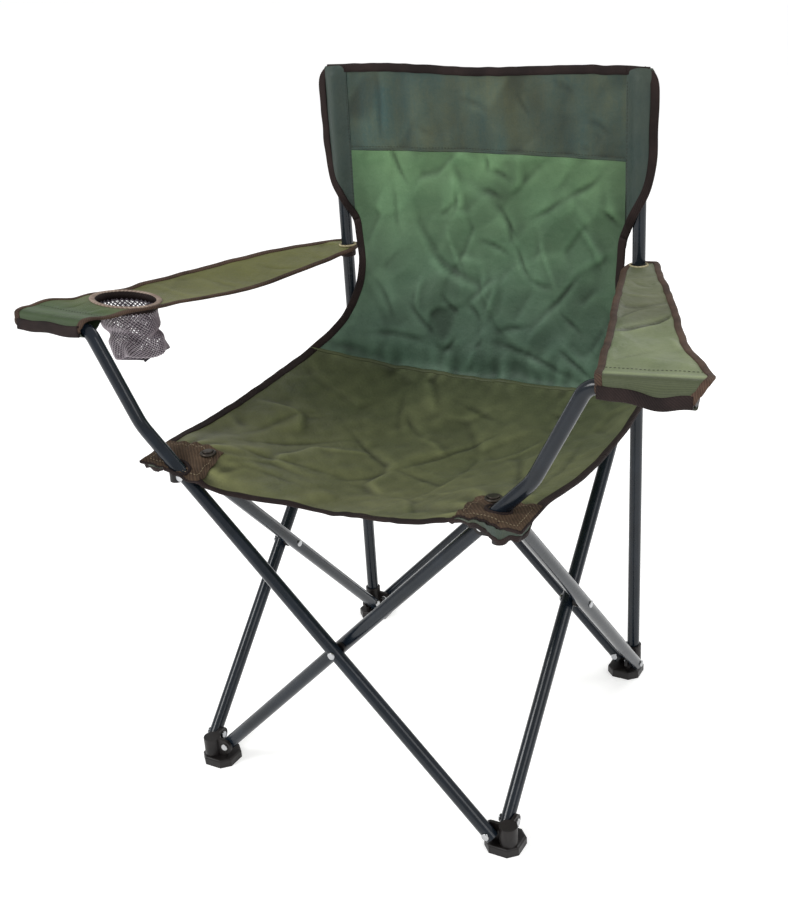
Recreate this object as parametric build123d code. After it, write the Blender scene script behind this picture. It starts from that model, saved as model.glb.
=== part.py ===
"""Folding camp chair: eight crossed leg tubes, two back posts, hinged corners and a cloth sling.

Millimetres, +Z up. The origin is on the floor at the centre of the square that the four feet make.
The sitter faces -Y and the cup holder is on the -X arm.

Each side of the frame is one X of two equal tubes, and the four sides are the same X turned a
quarter turn at a time. The parts of a side are therefore built on the front side and turned into
place. Right is +X, for someone who looks at the chair from the front. On the front side the tube
that rises to the left lies outside the plane of the side and the one that rises to the right lies
inside it, with the webs of the corner pieces between them, and every other side has the same.
"""
from math import atan2, cos, degrees, radians, sin
import os

from build123d import *

os.makedirs("parts", exist_ok=True)

# Leg frame
PIVOT_SPAN = 370.0  # between the two foot pivots of a side
FOOT_PIVOT_Z = 25.0  # height of the foot pivots
HUB_PIVOT_Z = 404.0  # height of the upper pivots, frame open
TUBE_D = 16.0
TUBE_WALL = 1.0
WEB = 4.0  # web of a corner piece, between the two tubes of a side
SIDE_GAP = 0.3  # between a web and the tube that turns on it
CORNER_REACH = 12.0  # from a pivot to the corner of the square, less half a tube
TUBE_OVERHANG = 7.0  # tube past its end pivot

# Rivets
RIVET_D = 5.0
RIVET_HEAD_D = 9.0
RIVET_HEAD_H = 1.8
RUNNING_GAP = 0.06  # radial, rivet in a hole that turns on it
LOOSE_GAP = 0.3  # radial, rivet in a hole of a pivot that closes a loop
WASHER_D = 14.0

# Corner pieces
WEB_HEIGHT = 18.0
COLLAR_WALL = 2.6  # corner pieces, round a post
SLIDE_GAP = 0.35  # radial, slider on post
COLLAR_BELOW = 14.0  # collar under the upper pivots
COLLAR_ABOVE = 9.0  # slider collar over the upper pivots
HUB_TOP = 3.0  # front hub's corner boss over the pivots
FOOT_SIZE = 43.0
FOOT_BASE = 11.0  # thickness of the foot's sole block
SOLE_CORNER = 0.24  # share of the sole cut off at each corner
SOLE_ROUND = 3.0
FOOT_COLLAR_TOP = 40.0
BOSS_D = 12.0  # carries the screw that holds the seat cloth
BOSS_IN = 21.0  # the screw boss from the corner, along its side
BOSS_ACROSS = 33.0  # and across it
BOSS_H = 14.0
BOSS_ARM = 6.0  # width of the arm that carries the boss
SCREW_HEAD_D = 12.0
SCREW_OVER = 18.4  # underside of the screw's head, above the upper pivots

# Back posts
POST_TOP = 790.0
POST_BOTTOM = 6.0
CAP_H = 3.0

# Arm tubes, which carry on from the two front leg tubes
ARM_BEND_PAST = 53.0  # from the upper pivot to where the tube turns up
ARM_RISE_ANGLE = 62.0  # degrees from level, above that bend
ARM_OVER = 164.0  # axis of the level end, above the upper pivots
ARM_END_PAST = 193.0  # end of the tube, out from the corner
ARM_LOW_BEND_R = 70.0
ARM_TOP_BEND_R = 22.0
PLUG_H = 3.0
PLUG_DEPTH = 10.0

# Cloth
CLOTH = 2.4
CLOTH_GAP = 0.4
SLEEVE_HEM = 9.0  # hem of a side sleeve, out from its post
SLEEVE_LENGTH = 164.0
CLOTH_OVER = 10.0  # top of the cloth, above the posts
HEADER = 106.0  # height of the doubled band at the top
PATCH = 1.2
PATCH_SIZE = 78.0
TAB_WIDTH = 14.0
TAB_T = 2.0
TAB_H = 62.0

# Arm cloth
ARM_CLOTH = 3.0
ARM_SLEEVE_CLOTH = 2.4
ARM_FRONT_IN = 91.0  # inner edge of the cloth at the front, out from the corner
ARM_FRONT_WIDTH = 116.0
ARM_REAR_IN = 15.0  # inner edge at the rear, in from the corner
ARM_REAR_WIDTH = 50.0
ARM_REAR_GAP = 17.0  # rear edge, in front of the post's axis
ARM_DROP = 12.0  # from the front of the arm cloth to its rear
STRAP_H = 14.0
STRAP_WALL = 2.0
STRAP_UNDER = 3.0  # middle of the strap, under the arm tube's axis

# Cup holder
CUP_D = 72.0
CUP_RING_WALL = 5.0
CUP_RING_H = 7.5
CUP_RING_OVER = 3.0  # underside of the ring, above the arm tube's axis
CUP_OUT = 112.0  # middle of the ring, out from the corner
CUP_BEHIND = 82.0  # and behind it
CUP_HEM = 4.0  # least width of the arm cloth round the ring
NET_DEPTH = 86.0
NET_TAPER = 4.0  # radial, from the mouth to the foot
NET_WALL = 1.4

# Sizes that follow
R = TUBE_D / 2
S = PIVOT_SPAN / 2
CORNER = S + CORNER_REACH + R
WEB_REACH = CORNER - S
OFFSET = WEB / 2 + SIDE_GAP + R  # tube axis from the plane of its side
RISE = HUB_PIVOT_Z - FOOT_PIVOT_Z
LEAN = atan2(RISE, PIVOT_SPAN)
SLOPE = RISE / PIVOT_SPAN
MID_Z = (HUB_PIVOT_Z + FOOT_PIVOT_Z) / 2
COLLAR_D = TUBE_D + 2 * COLLAR_WALL
SCREW_TOP = HUB_PIVOT_Z + SCREW_OVER
ARM_BEND_X = S + ARM_BEND_PAST
ARM_TOP_Z = HUB_PIVOT_Z + ARM_OVER
ARM_END_X = CORNER + ARM_END_PAST
SLEEVE_OUT_X = CORNER + R + SLEEVE_HEM
CLOTH_TOP = POST_TOP + CLOTH_OVER
SLEEVE_BOTTOM = CLOTH_TOP - SLEEVE_LENGTH
HEADER_BOTTOM = CLOTH_TOP - HEADER
ARM_SLEEVE_D = TUBE_D + 2 * (CLOTH_GAP + ARM_SLEEVE_CLOTH)
ARM_FRONT_IN_X = CORNER + ARM_FRONT_IN
ARM_FRONT_OUT_X = ARM_FRONT_IN_X + ARM_FRONT_WIDTH
ARM_REAR_IN_X = CORNER - ARM_REAR_IN
ARM_REAR_OUT_X = ARM_REAR_IN_X + ARM_REAR_WIDTH
ARM_REAR_Y = CORNER - ARM_REAR_GAP
STRAP_Z = ARM_TOP_Z - STRAP_UNDER
CUP_RING_D = CUP_D + 2 * CUP_RING_WALL
CUP_RING_Z = ARM_TOP_Z + CUP_RING_OVER
CUP_X = CORNER + CUP_OUT
CUP_Y = CUP_BEHIND - CORNER
NET_FOOT_D = CUP_D - 2 * NET_TAPER
PIN_R = RIVET_D / 2
RUN_R = PIN_R + RUNNING_GAP
LOOSE_R = PIN_R + LOOSE_GAP
SIDES = ("front", "right", "rear", "left")

# Rows of the seat and back cloth, from the front hem up to the header. Each row is the curve of the
# cloth from one side hem to the other: half width, hem y and z, middle y and z, exponent of the
# sag, and how far the row is flattened over the corners, from 0 to 1. Widths and depths are set
# from the corners of the frame, and heights from the upper pivots or from the top of the cloth.
PIVOTS = HUB_PIVOT_Z
FRONT = -CORNER
REAR = CORNER
PANEL = CORNER - R  # inner side of a post
SEAM_ROW = (CORNER + 35.0, REAR - 56.0, PIVOTS + R + 22.0, REAR + 9.0, PIVOTS + R - 18.0, 3.0, 0.0)
SEAT_ROWS = (
    (CORNER + 33.0, FRONT - 19.0, PIVOTS + 17.5, FRONT + 1.0, PIVOTS - 20.0, 2.0, 1.0),
    (CORNER + 34.0, FRONT + 37.0, PIVOTS + 16.5, FRONT + 45.0, PIVOTS - 29.0, 2.0, 0.9),
    (CORNER + 41.0, FRONT + 135.0, PIVOTS + 11.0, FRONT + 139.0, PIVOTS - 41.0, 2.0, 0.3),
    (CORNER + 42.0, REAR - 165.0, PIVOTS + 15.0, REAR - 145.0, PIVOTS - 40.0, 2.4, 0.0),
    (CORNER + 39.0, REAR - 95.0, PIVOTS + R + 15.0, REAR - 55.0, PIVOTS + R - 38.0, 2.8, 0.0),
)
BACK_ROWS = (
    SEAM_ROW,
    (PANEL + 27.0, REAR - 31.0, PIVOTS + 48.0, REAR + 14.0, PIVOTS + 20.0, 2.6, 0.0),
    (PANEL + 9.0, REAR - 16.0, PIVOTS + 72.0, REAR + 17.0, PIVOTS + 62.0, 2.2, 0.0),
    (PANEL - 11.0, REAR - 4.0, PIVOTS + 131.0, REAR + 18.5, PIVOTS + 131.0, 2.0, 0.0),
    (PANEL - 10.0, REAR - 2.0, SLEEVE_BOTTOM - 36.0, REAR + 17.0, SLEEVE_BOTTOM - 36.0, 2.0, 0.0),
    (PANEL - 5.0, REAR, HEADER_BOTTOM, REAR + 14.0, HEADER_BOTTOM, 2.0, 0.0),
)
HEADER_ROWS = (
    BACK_ROWS[-1],
    (PANEL - 5.0, REAR, CLOTH_TOP - 50.0, REAR + 12.0, CLOTH_TOP - 50.0, 2.0, 0.0),
    (PANEL - 5.0, REAR, CLOTH_TOP, REAR + 10.0, CLOTH_TOP, 2.0, 0.0),
)
ROW_POINTS = 13
FLAT_FROM = 0.8  # share of the half width where a flattened row is level


def save(shape, name):
    """Write one named piece."""
    export_step(shape, f"parts/{name}.step")


def largest(shape):
    """The largest solid of a shape that a cut may have split."""
    return max(shape.solids(), key=lambda solid: solid.volume)


def turned(shape, quarter):
    """The shape built on the front side, turned to another side."""
    return Rot(0, 0, 90 * quarter) * shape


def rod(radius, start, end):
    """Straight round bar from one point to another."""
    axis = Vector(end) - Vector(start)
    plane = Plane(origin=start, z_dir=axis)
    return plane * Cylinder(radius, axis.length, align=(Align.CENTER, Align.CENTER, Align.MIN))


def across(radius, x, z, y_from, y_to):
    """Round bar along Y, at a place on the front side."""
    return rod(radius, (x, y_from, z), (x, y_to, z))


def upright(radius, x, y, z_from, z_to):
    """Round bar along Z."""
    return rod(radius, (x, y, z_from), (x, y, z_to))


def pivot_holes(lean, mid_radius, y):
    """Bars at the foot, middle and upper pivots of a tube that rises towards lean = +1 or -1 in X."""
    places = ((-S * lean, FOOT_PIVOT_Z, PIN_R), (0, MID_Z, mid_radius), (S * lean, HUB_PIVOT_Z, PIN_R))
    return [across(radius, x, z, y - TUBE_D, y + TUBE_D) for x, z, radius in places]


def leg_tube(lean, y, mid_radius):
    """Straight leg tube in the front side's place, with its three pivot holes."""
    low = Vector(-S * lean - TUBE_OVERHANG * cos(LEAN) * lean, y, FOOT_PIVOT_Z - TUBE_OVERHANG * sin(LEAN))
    high = Vector(S * lean + TUBE_OVERHANG * cos(LEAN) * lean, y, HUB_PIVOT_Z + TUBE_OVERHANG * sin(LEAN))
    tube = rod(R, low, high) - rod(R - TUBE_WALL, low, high)
    foot, middle, upper = pivot_holes(lean, mid_radius, y)
    return tube - foot - middle - upper


def arm_points(lean, y):
    """Corners of an arm tube's route: up the leg's line, steeper above the seat, then level outwards."""
    bend_z = HUB_PIVOT_Z + (ARM_BEND_X - S) * SLOPE
    rise = radians(ARM_RISE_ANGLE)
    top_x = ARM_BEND_X + (ARM_TOP_Z - bend_z) * cos(rise) / sin(rise)
    low_x = -S - TUBE_OVERHANG * cos(LEAN)
    low_z = FOOT_PIVOT_Z - TUBE_OVERHANG * sin(LEAN)
    corners = ((low_x, low_z), (ARM_BEND_X, bend_z), (top_x, ARM_TOP_Z), (ARM_END_X, ARM_TOP_Z))
    return [Vector(x * lean, y, z) for x, z in corners]


def bent_wire(points, radii):
    """Straight runs joined by tangent arcs, one radius at each inner point."""
    edges = []
    start = points[0]
    for before, at, after, radius in zip(points, points[1:], points[2:], radii):
        way_in = (at - before).normalized()
        way_out = (after - at).normalized()
        turn = radians(way_in.get_angle(way_out))
        reach = radius * abs(sin(turn / 2) / cos(turn / 2))
        arc_start = at - way_in * reach
        arc_end = at + way_out * reach
        edges.append(Edge.make_line(start, arc_start))
        edges.append(Edge.make_tangent_arc(arc_start, way_in, arc_end))
        start = arc_end
    edges.append(Edge.make_line(start, points[-1]))
    return Wire(edges)


def arm_tube(lean, y, mid_radius):
    """Front leg tube that carries on as the frame of an arm."""
    points = arm_points(lean, y)
    route = bent_wire(points, (ARM_LOW_BEND_R, ARM_TOP_BEND_R))
    start = Plane(origin=points[0], z_dir=points[1] - points[0])
    outer = sweep(start * Circle(R), path=route)
    inner = sweep(start * Circle(R - TUBE_WALL), path=route)
    foot, middle, upper = pivot_holes(lean, mid_radius, y)
    return outer - inner - foot - middle - upper


def rivet(x, z, y_from, y_to):
    """Rivet along Y with a low domed head on each end; y_from and y_to are the faces it holds."""
    head_r = RIVET_HEAD_D / 2
    sign = 1 if y_to > y_from else -1
    shank = across(PIN_R, x, z, y_from, y_to)
    near = across(head_r, x, z, y_from, y_from - sign * RIVET_HEAD_H)
    far = across(head_r, x, z, y_to, y_to + sign * RIVET_HEAD_H)
    rims = [e for head in (near, far) for e in head.edges().filter_by(GeomType.CIRCLE)]
    ends = (y_from - sign * RIVET_HEAD_H, y_to + sign * RIVET_HEAD_H)
    outer = [e for e in rims if min(abs(e.center().Y - end) for end in ends) < 0.01]
    near = fillet([e for e in outer if e in near.edges()], RIVET_HEAD_H * 0.6)
    far = fillet([e for e in outer if e in far.edges()], RIVET_HEAD_H * 0.6)
    return shank + near + far


def end_rivets(lean, outside):
    """The foot and upper rivets of one tube, in the front side's place."""
    side = -1 if outside else 1
    web_face = -CORNER - side * (WEB / 2 + SIDE_GAP)
    tube_face = -CORNER + side * (OFFSET + R)
    places = ((-S * lean, FOOT_PIVOT_Z), (S * lean, HUB_PIVOT_Z))
    return [rivet(x, z, web_face, tube_face) for x, z in places]


def middle_rivet():
    """Rivet where the two tubes of the front side cross."""
    reach = OFFSET + R
    return rivet(0, MID_Z, -CORNER - reach, -CORNER + reach)


def middle_washer():
    """Spacer between the two tubes where they cross."""
    half = OFFSET - R - SIDE_GAP
    washer = across(WASHER_D / 2, 0, MID_Z, -CORNER - half, -CORNER + half)
    return washer - across(PIN_R, 0, MID_Z, -CORNER - half, -CORNER + half)


def web(z, hole_radius):
    """Web of a corner piece in the front side's plane, at the +X corner, with its pivot hole."""
    y_from = -CORNER - WEB / 2
    y_to = -CORNER + WEB / 2
    tip = across(WEB_HEIGHT / 2, S, z, y_from, y_to)
    plate = Pos((S + CORNER) / 2, -CORNER, z) * Box(WEB_REACH, WEB, WEB_HEIGHT)
    return plate + tip - across(hole_radius, S, z, y_from - 1, y_to + 1)


def on_side(shape):
    """The shape of the front side's +X end, mirrored onto the right side's front end."""
    return mirror(turned(shape, 1), about=Plane.XZ)


def two_webs(z, front_radius, side_radius):
    """The two webs of the front right corner piece."""
    return web(z, front_radius) + on_side(web(z, side_radius))


def foot(with_post):
    """Front right foot: sole block, two webs on ribs, and a collar that can take a post."""
    middle = (S + CORNER) / 2 + PIN_R
    sole = Pos(middle, -middle, FOOT_BASE / 2) * Box(FOOT_SIZE, FOOT_SIZE, FOOT_BASE)
    sole = chamfer(sole.edges().filter_by(Axis.Z), FOOT_SIZE * SOLE_CORNER)
    sole = fillet(sole.faces().sort_by(Axis.Z)[-1].edges(), SOLE_ROUND)
    rib = Pos((S + CORNER) / 2, -CORNER, FOOT_PIVOT_Z / 2) * Box(WEB_REACH, WEB, FOOT_PIVOT_Z)
    hole = across(RUN_R, S, FOOT_PIVOT_Z, -CORNER - WEB, -CORNER + WEB)
    collar_top = FOOT_COLLAR_TOP if with_post else FOOT_PIVOT_Z + WEB_HEIGHT / 2
    collar = upright(COLLAR_D / 2, CORNER, -CORNER, FOOT_BASE / 2, collar_top)
    body = sole + rib + on_side(rib) + collar + two_webs(FOOT_PIVOT_Z, RUN_R, RUN_R) - hole - on_side(hole)
    if with_post:
        body -= upright(R, CORNER, -CORNER, POST_BOTTOM, FOOT_COLLAR_TOP)
    return body


def front_hub(front_radius, side_radius):
    """Front right hub: two webs, the corner boss between them and the boss under the seat cloth."""
    boss_x = CORNER - BOSS_IN
    boss_y = BOSS_ACROSS - CORNER
    low = HUB_PIVOT_Z - BOSS_H / 2
    corner = upright(R, CORNER, -CORNER, HUB_PIVOT_Z - COLLAR_BELOW, HUB_PIVOT_Z + HUB_TOP)
    boss = upright(BOSS_D / 2, boss_x, boss_y, low, low + BOSS_H)
    arm_y = -S + RIVET_HEAD_D / 2 + SIDE_GAP + BOSS_ARM / 2
    arm = Pos((boss_x + CORNER) / 2, arm_y, HUB_PIVOT_Z) * Box(BOSS_IN, BOSS_ARM, BOSS_H)
    screw_hole = upright(PIN_R, boss_x, boss_y, low, low + BOSS_H)
    return two_webs(HUB_PIVOT_Z, front_radius, side_radius) + corner + boss + arm - screw_hole


def slider(front_radius, side_radius):
    """Slider of the front right corner's shape: two webs on a collar that runs on a post."""
    low = HUB_PIVOT_Z - COLLAR_BELOW
    high = HUB_PIVOT_Z + COLLAR_ABOVE
    collar = upright(COLLAR_D / 2, CORNER, -CORNER, low, high)
    bore = upright(R + SLIDE_GAP, CORNER, -CORNER, low, high)
    return two_webs(HUB_PIVOT_Z, front_radius, side_radius) + collar - bore


def post():
    """Back post in the front right corner's place."""
    return upright(R, CORNER, -CORNER, POST_BOTTOM, POST_TOP) - upright(
        R - TUBE_WALL, CORNER, -CORNER, POST_BOTTOM, POST_TOP
    )


def post_cap():
    """Plug in the top of a post, with a rounded head."""
    head = upright(R, CORNER, -CORNER, POST_TOP, POST_TOP + CAP_H)
    head = fillet(head.faces().sort_by(Axis.Z)[-1].edges(), CAP_H * 0.6)
    return head + upright(R - TUBE_WALL, CORNER, -CORNER, POST_TOP - PLUG_DEPTH, POST_TOP)


def seat_screw(top):
    """Screw through the seat cloth into a front hub's boss, with a wide low head."""
    x = CORNER - BOSS_IN
    y = BOSS_ACROSS - CORNER
    head = upright(SCREW_HEAD_D / 2, x, y, top, top + RIVET_HEAD_H)
    head = fillet(head.faces().sort_by(Axis.Z)[-1].edges(), RIVET_HEAD_H * 0.6)
    return head + upright(PIN_R, x, y, HUB_PIVOT_Z - BOSS_H / 2, top)


def sag(row, share):
    """Height of a row over its middle, from 0 there to 1 at the hem."""
    exponent, flat = row[5:]
    over = min(1, share / FLAT_FROM)
    return (1 - flat) * share**exponent + flat * over * over * (3 - 2 * over)


def row_point(row, share, depth):
    """Point of a row at a share of its half width, moved in from the sitter's face of the cloth."""
    width, hem_y, hem_z, mid_y, mid_z = row[:5]
    out = Vector(0, hem_y - mid_y, hem_z - mid_z)
    place = Vector(share * width, mid_y, mid_z) + out * sag(row, abs(share))
    return place - out.normalized() * depth


def row_before(row, gap):
    """The row moved back by a gap, square to its own plane."""
    width, hem_y, hem_z, mid_y, mid_z, exponent, flat = row
    out = Vector(0, hem_y - mid_y, hem_z - mid_z).normalized() * gap
    return (width, hem_y - out.Z, hem_z + out.Y, mid_y - out.Z, mid_z + out.Y, exponent, flat)


def row_outline(row, face, back):
    """Closed outline of the cloth along one row, between two depths."""
    shares = [2 * i / (ROW_POINTS - 1) - 1 for i in range(ROW_POINTS)]
    near = [row_point(row, share, face) for share in shares]
    far = [row_point(row, share, back) for share in shares]
    edges = (
        Edge.make_spline(near),
        Edge.make_line(near[-1], far[-1]),
        Edge.make_spline(far[::-1]),
        Edge.make_line(far[0], near[0]),
    )
    return Wire(edges)


def sheet(rows, face=0.0, back=CLOTH):
    """Cloth through all the rows."""
    return Solid.make_loft([row_outline(row, face, back) for row in rows])


def tube_room(lean):
    """Room for an arm tube where it passes the seat cloth and the corner piece under it."""
    y = -CORNER + lean * OFFSET
    points = arm_points(lean, y)
    return rod(R + CLOTH_GAP, points[0], points[1])


def seat_cloth():
    """Seat panel, with a hole for each arm tube and each screw."""
    cloth = sheet((*SEAT_ROWS, row_before(SEAM_ROW, CLOTH_GAP)))
    screw = upright(PIN_R + CLOTH_GAP, CORNER - BOSS_IN, BOSS_ACROSS - CORNER, MID_Z, CLOTH_TOP)
    return cloth - tube_room(1) - tube_room(-1) - screw - turned(screw, -1)


def corner_patch(lean, cloth):
    """Reinforcing patch on a front corner of the seat, round the arm tube and the screw."""
    layer = sheet(SEAT_ROWS[:3], -PATCH, 0.0)
    x_mid = lean * (SEAT_ROWS[0][0] - PATCH_SIZE / 2)
    y_mid = SEAT_ROWS[0][1] + PATCH_SIZE / 2
    square = Pos(x_mid, y_mid, HUB_PIVOT_Z) * Box(PATCH_SIZE, PATCH_SIZE, RISE / 2)
    screw = upright(PIN_R + CLOTH_GAP, CORNER - BOSS_IN, BOSS_ACROSS - CORNER, MID_Z, CLOTH_TOP)
    screw = screw if lean > 0 else turned(screw, -1)
    return (layer & square) - tube_room(lean) - screw - cloth


def rear_tab(lean, back, gap):
    """Webbing tab from a slider's rear web up to the back of the back panel."""
    low = HUB_PIVOT_Z + WEB_HEIGHT / 2
    x_mid = lean * (S + TAB_WIDTH / 2 - WEB_HEIGHT / 2)
    tab = Pos(x_mid, CORNER - WEB / 2 + TAB_T / 2, low + TAB_H / 2) * Box(TAB_WIDTH, TAB_T, TAB_H)
    return largest(tab - back - Pos(0, gap, 0) * back)


def side_sleeve(lean, back, gap):
    """Sleeve of the back cloth round a post, closed at the top, with its hem and its seam."""
    inner_x = BACK_ROWS[-1][0] + gap
    y_mid = CORNER + CLOTH / 2
    height = CLOTH_TOP - SLEEVE_BOTTOM
    flap = Pos((inner_x + SLEEVE_OUT_X) / 2, y_mid, SLEEVE_BOTTOM + height / 2) * Box(
        SLEEVE_OUT_X - inner_x, CLOTH, height
    )
    tube = upright(R + CLOTH_GAP + CLOTH, CORNER, CORNER, SLEEVE_BOTTOM, CLOTH_TOP)
    room = upright(R + CLOTH_GAP, CORNER, CORNER, SLEEVE_BOTTOM, POST_TOP + CAP_H + CLOTH_GAP)
    body = flap + tube - room - back - Pos(gap, 0, 0) * back
    return body if lean > 0 else mirror(body, about=Plane.YZ)


def arm_slope(shape, y):
    """Lean an arm's cloth back from its front sleeve."""
    low = ARM_TOP_Z + R + CLOTH_GAP
    angle = degrees(atan2(ARM_DROP, ARM_REAR_Y - y))
    return Pos(0, y, low) * Rot(-angle, 0, 0) * Pos(0, -y, -low) * shape


def arm_cloth(lean):
    """Arm panel with the front sleeve that slips over the level end of the arm tube."""
    y = -CORNER + lean * OFFSET
    low = ARM_TOP_Z + R + CLOTH_GAP
    front_y = y - ARM_SLEEVE_D / 2
    outline = (
        (ARM_FRONT_IN_X, front_y),
        (ARM_FRONT_OUT_X, front_y),
        (ARM_REAR_OUT_X, ARM_REAR_Y),
        (ARM_REAR_IN_X, ARM_REAR_Y),
    )
    plan = make_face(Polyline(*outline, close=True))
    if lean < 0:
        plan += Pos(CUP_X, CUP_Y) * Circle(CUP_RING_D / 2 + CUP_HEM)
    panel = arm_slope(extrude(Pos(0, 0, low) * plan, amount=ARM_CLOTH), y)
    sleeve_from = (arm_points(1, y)[2].X + ARM_TOP_BEND_R * sin(radians(ARM_RISE_ANGLE)), y, ARM_TOP_Z)
    sleeve = rod(ARM_SLEEVE_D / 2, sleeve_from, (ARM_FRONT_OUT_X, y, ARM_TOP_Z))
    room = rod(R + CLOTH_GAP, sleeve_from, (ARM_END_X + PLUG_H + CLOTH_GAP, y, ARM_TOP_Z))
    body = panel + sleeve - room
    return body if lean > 0 else mirror(body, about=Plane.YZ)


def arm_plug(lean):
    """Plug in the level end of an arm tube."""
    y = -CORNER + lean * OFFSET
    head = rod(R, (ARM_END_X, y, ARM_TOP_Z), (ARM_END_X + PLUG_H, y, ARM_TOP_Z))
    stem = rod(R - TUBE_WALL, (ARM_END_X - PLUG_DEPTH, y, ARM_TOP_Z), (ARM_END_X, y, ARM_TOP_Z))
    body = head + stem
    return body if lean > 0 else mirror(body, about=Plane.YZ)


def arm_strap(lean):
    """Strap round a post that holds the rear of an arm's cloth."""
    ring = upright(R + STRAP_WALL, CORNER, CORNER, STRAP_Z - STRAP_H / 2, STRAP_Z + STRAP_H / 2)
    tongue_to = CORNER - R
    tongue_from = ARM_REAR_Y + CLOTH_GAP
    tongue_z = ARM_TOP_Z + R + CLOTH_GAP - ARM_DROP + ARM_CLOTH / 2
    tongue = Pos(CORNER, (tongue_from + tongue_to) / 2, tongue_z) * Box(
        2 * R, tongue_to - tongue_from, ARM_CLOTH
    )
    body = ring + tongue - upright(R, CORNER, CORNER, FOOT_PIVOT_Z, POST_TOP)
    return body if lean > 0 else mirror(body, about=Plane.YZ)


def cup_ring():
    """Ring that keeps the cup holder's mouth open."""
    ring = upright(CUP_RING_D / 2, -CUP_X, CUP_Y, CUP_RING_Z, CUP_RING_Z + CUP_RING_H)
    return ring - upright(CUP_D / 2, -CUP_X, CUP_Y, CUP_RING_Z, CUP_RING_Z + CUP_RING_H)


def cup_net():
    """Net bag under the ring, with a closed foot."""
    bottom = CUP_RING_Z - NET_DEPTH
    place = Pos(-CUP_X, CUP_Y, bottom)
    up = (Align.CENTER, Align.CENTER, Align.MIN)
    outer = Cone(NET_FOOT_D / 2 + NET_WALL, CUP_D / 2 + NET_WALL, NET_DEPTH, align=up)
    inner = Pos(0, 0, NET_WALL) * Cone(NET_FOOT_D / 2, CUP_D / 2, NET_DEPTH - NET_WALL, align=up)
    return place * (outer - inner)


# Legs, arm tubes and their rivets
for quarter, side in enumerate(SIDES):
    for which, lean in (("outer", -1), ("inner", 1)):
        y = -CORNER + lean * OFFSET
        outside = lean < 0
        if side == "front":
            name = "left_arm" if outside else "right_arm"
            tube = arm_tube(lean, y, PIN_R if outside else LOOSE_R)
        else:
            name = f"{side}_{which}"
            tube = leg_tube(lean, y, PIN_R if outside else RUN_R)
        save(turned(tube, quarter), f"{name}_tube")
        save(turned(Compound(children=end_rivets(lean, outside)), quarter), f"{name}_rivets")
    save(turned(middle_rivet(), quarter), f"{side}_cross_rivet")
    save(turned(middle_washer(), quarter), f"{side}_cross_washer")

# Corner pieces, counted from the front right corner by quarter turns
save(foot(False), "front_right_foot")
save(turned(foot(True), 1), "rear_right_foot")
save(turned(foot(True), 2), "rear_left_foot")
save(turned(foot(False), 3), "front_left_foot")
save(front_hub(LOOSE_R, RUN_R) - tube_room(1), "front_right_hub")
save(turned(slider(RUN_R, LOOSE_R), 1), "rear_right_slider")
save(turned(slider(RUN_R, LOOSE_R), 2), "rear_left_slider")
save(turned(front_hub(RUN_R, LOOSE_R), 3), "front_left_hub")
for hand, quarter in (("right", 1), ("left", 2)):
    save(turned(post(), quarter), f"{hand}_post")
    save(turned(post_cap(), quarter), f"{hand}_post_cap")

# Cloth and what holds it
back = sheet(BACK_ROWS)
seat = seat_cloth()
save(seat, "seat_cloth")
save(back, "back_cloth")
save(sheet(HEADER_ROWS), "back_header")
for hand, lean, quarter in (("right", 1, 0), ("left", -1, 3)):
    save(corner_patch(lean, seat), f"seat_{hand}_patch")
    save(turned(seat_screw(SCREW_TOP), quarter), f"seat_{hand}_screw")
    save(rear_tab(lean, back, CLOTH_GAP), f"seat_{hand}_rear_tab")
    save(side_sleeve(lean, back, 0.0 if lean > 0 else CLOTH_GAP), f"back_{hand}_sleeve")
    save(arm_plug(lean), f"{hand}_arm_plug")
    save(arm_strap(lean), f"{hand}_arm_strap")
save(arm_cloth(1), "right_arm_cloth")
ring_room = upright(CUP_RING_D / 2 + CLOTH_GAP, -CUP_X, CUP_Y, MID_Z, CLOTH_TOP)
save(arm_cloth(-1) - ring_room, "left_arm_cloth")
save(cup_ring(), "cup_ring")
save(cup_net(), "cup_net")
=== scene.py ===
"""Looks of a folding camp chair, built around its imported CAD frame. Metres, +Z up, sitter faces -Y."""
import math

import bpy
import numpy as np
from mathutils import Matrix, Vector


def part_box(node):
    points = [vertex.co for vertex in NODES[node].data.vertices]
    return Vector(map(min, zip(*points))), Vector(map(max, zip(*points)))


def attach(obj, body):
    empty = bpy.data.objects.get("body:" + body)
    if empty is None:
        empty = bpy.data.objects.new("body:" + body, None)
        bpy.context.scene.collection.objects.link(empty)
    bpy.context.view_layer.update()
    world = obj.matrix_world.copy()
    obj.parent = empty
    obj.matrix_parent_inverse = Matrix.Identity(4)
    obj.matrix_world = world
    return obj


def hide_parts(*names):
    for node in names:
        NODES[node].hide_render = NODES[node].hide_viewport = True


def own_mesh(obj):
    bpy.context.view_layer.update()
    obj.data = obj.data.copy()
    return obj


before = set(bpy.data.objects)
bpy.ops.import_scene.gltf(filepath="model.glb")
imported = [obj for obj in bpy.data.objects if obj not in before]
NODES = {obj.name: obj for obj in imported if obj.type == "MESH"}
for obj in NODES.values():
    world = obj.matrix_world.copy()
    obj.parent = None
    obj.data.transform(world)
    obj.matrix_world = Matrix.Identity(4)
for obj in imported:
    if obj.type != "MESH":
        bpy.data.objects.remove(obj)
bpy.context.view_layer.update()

# Camera, at the photograph's angle
CAM_AZIMUTH = 30.482
CAM_ELEVATION = 23.161
CAM_ROLL = -3.665
CAM_TARGET = Vector((0.00674, -0.06729, 0.4))
CAM_DISTANCE = 1.5354
CAM_LENS = 52.3

# Frame sizes that the cloth follows
CORNER = 0.205
PIVOT_X = 0.185
HUB_Z = 0.404
FOOT_Z = 0.025
TUBE_R = 0.008
TUBE_OFFSET = 0.0103
RISE = HUB_Z - FOOT_Z
FOLD_KEEP = 0.3727  # width of the folded frame, as a share of the open one

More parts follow.
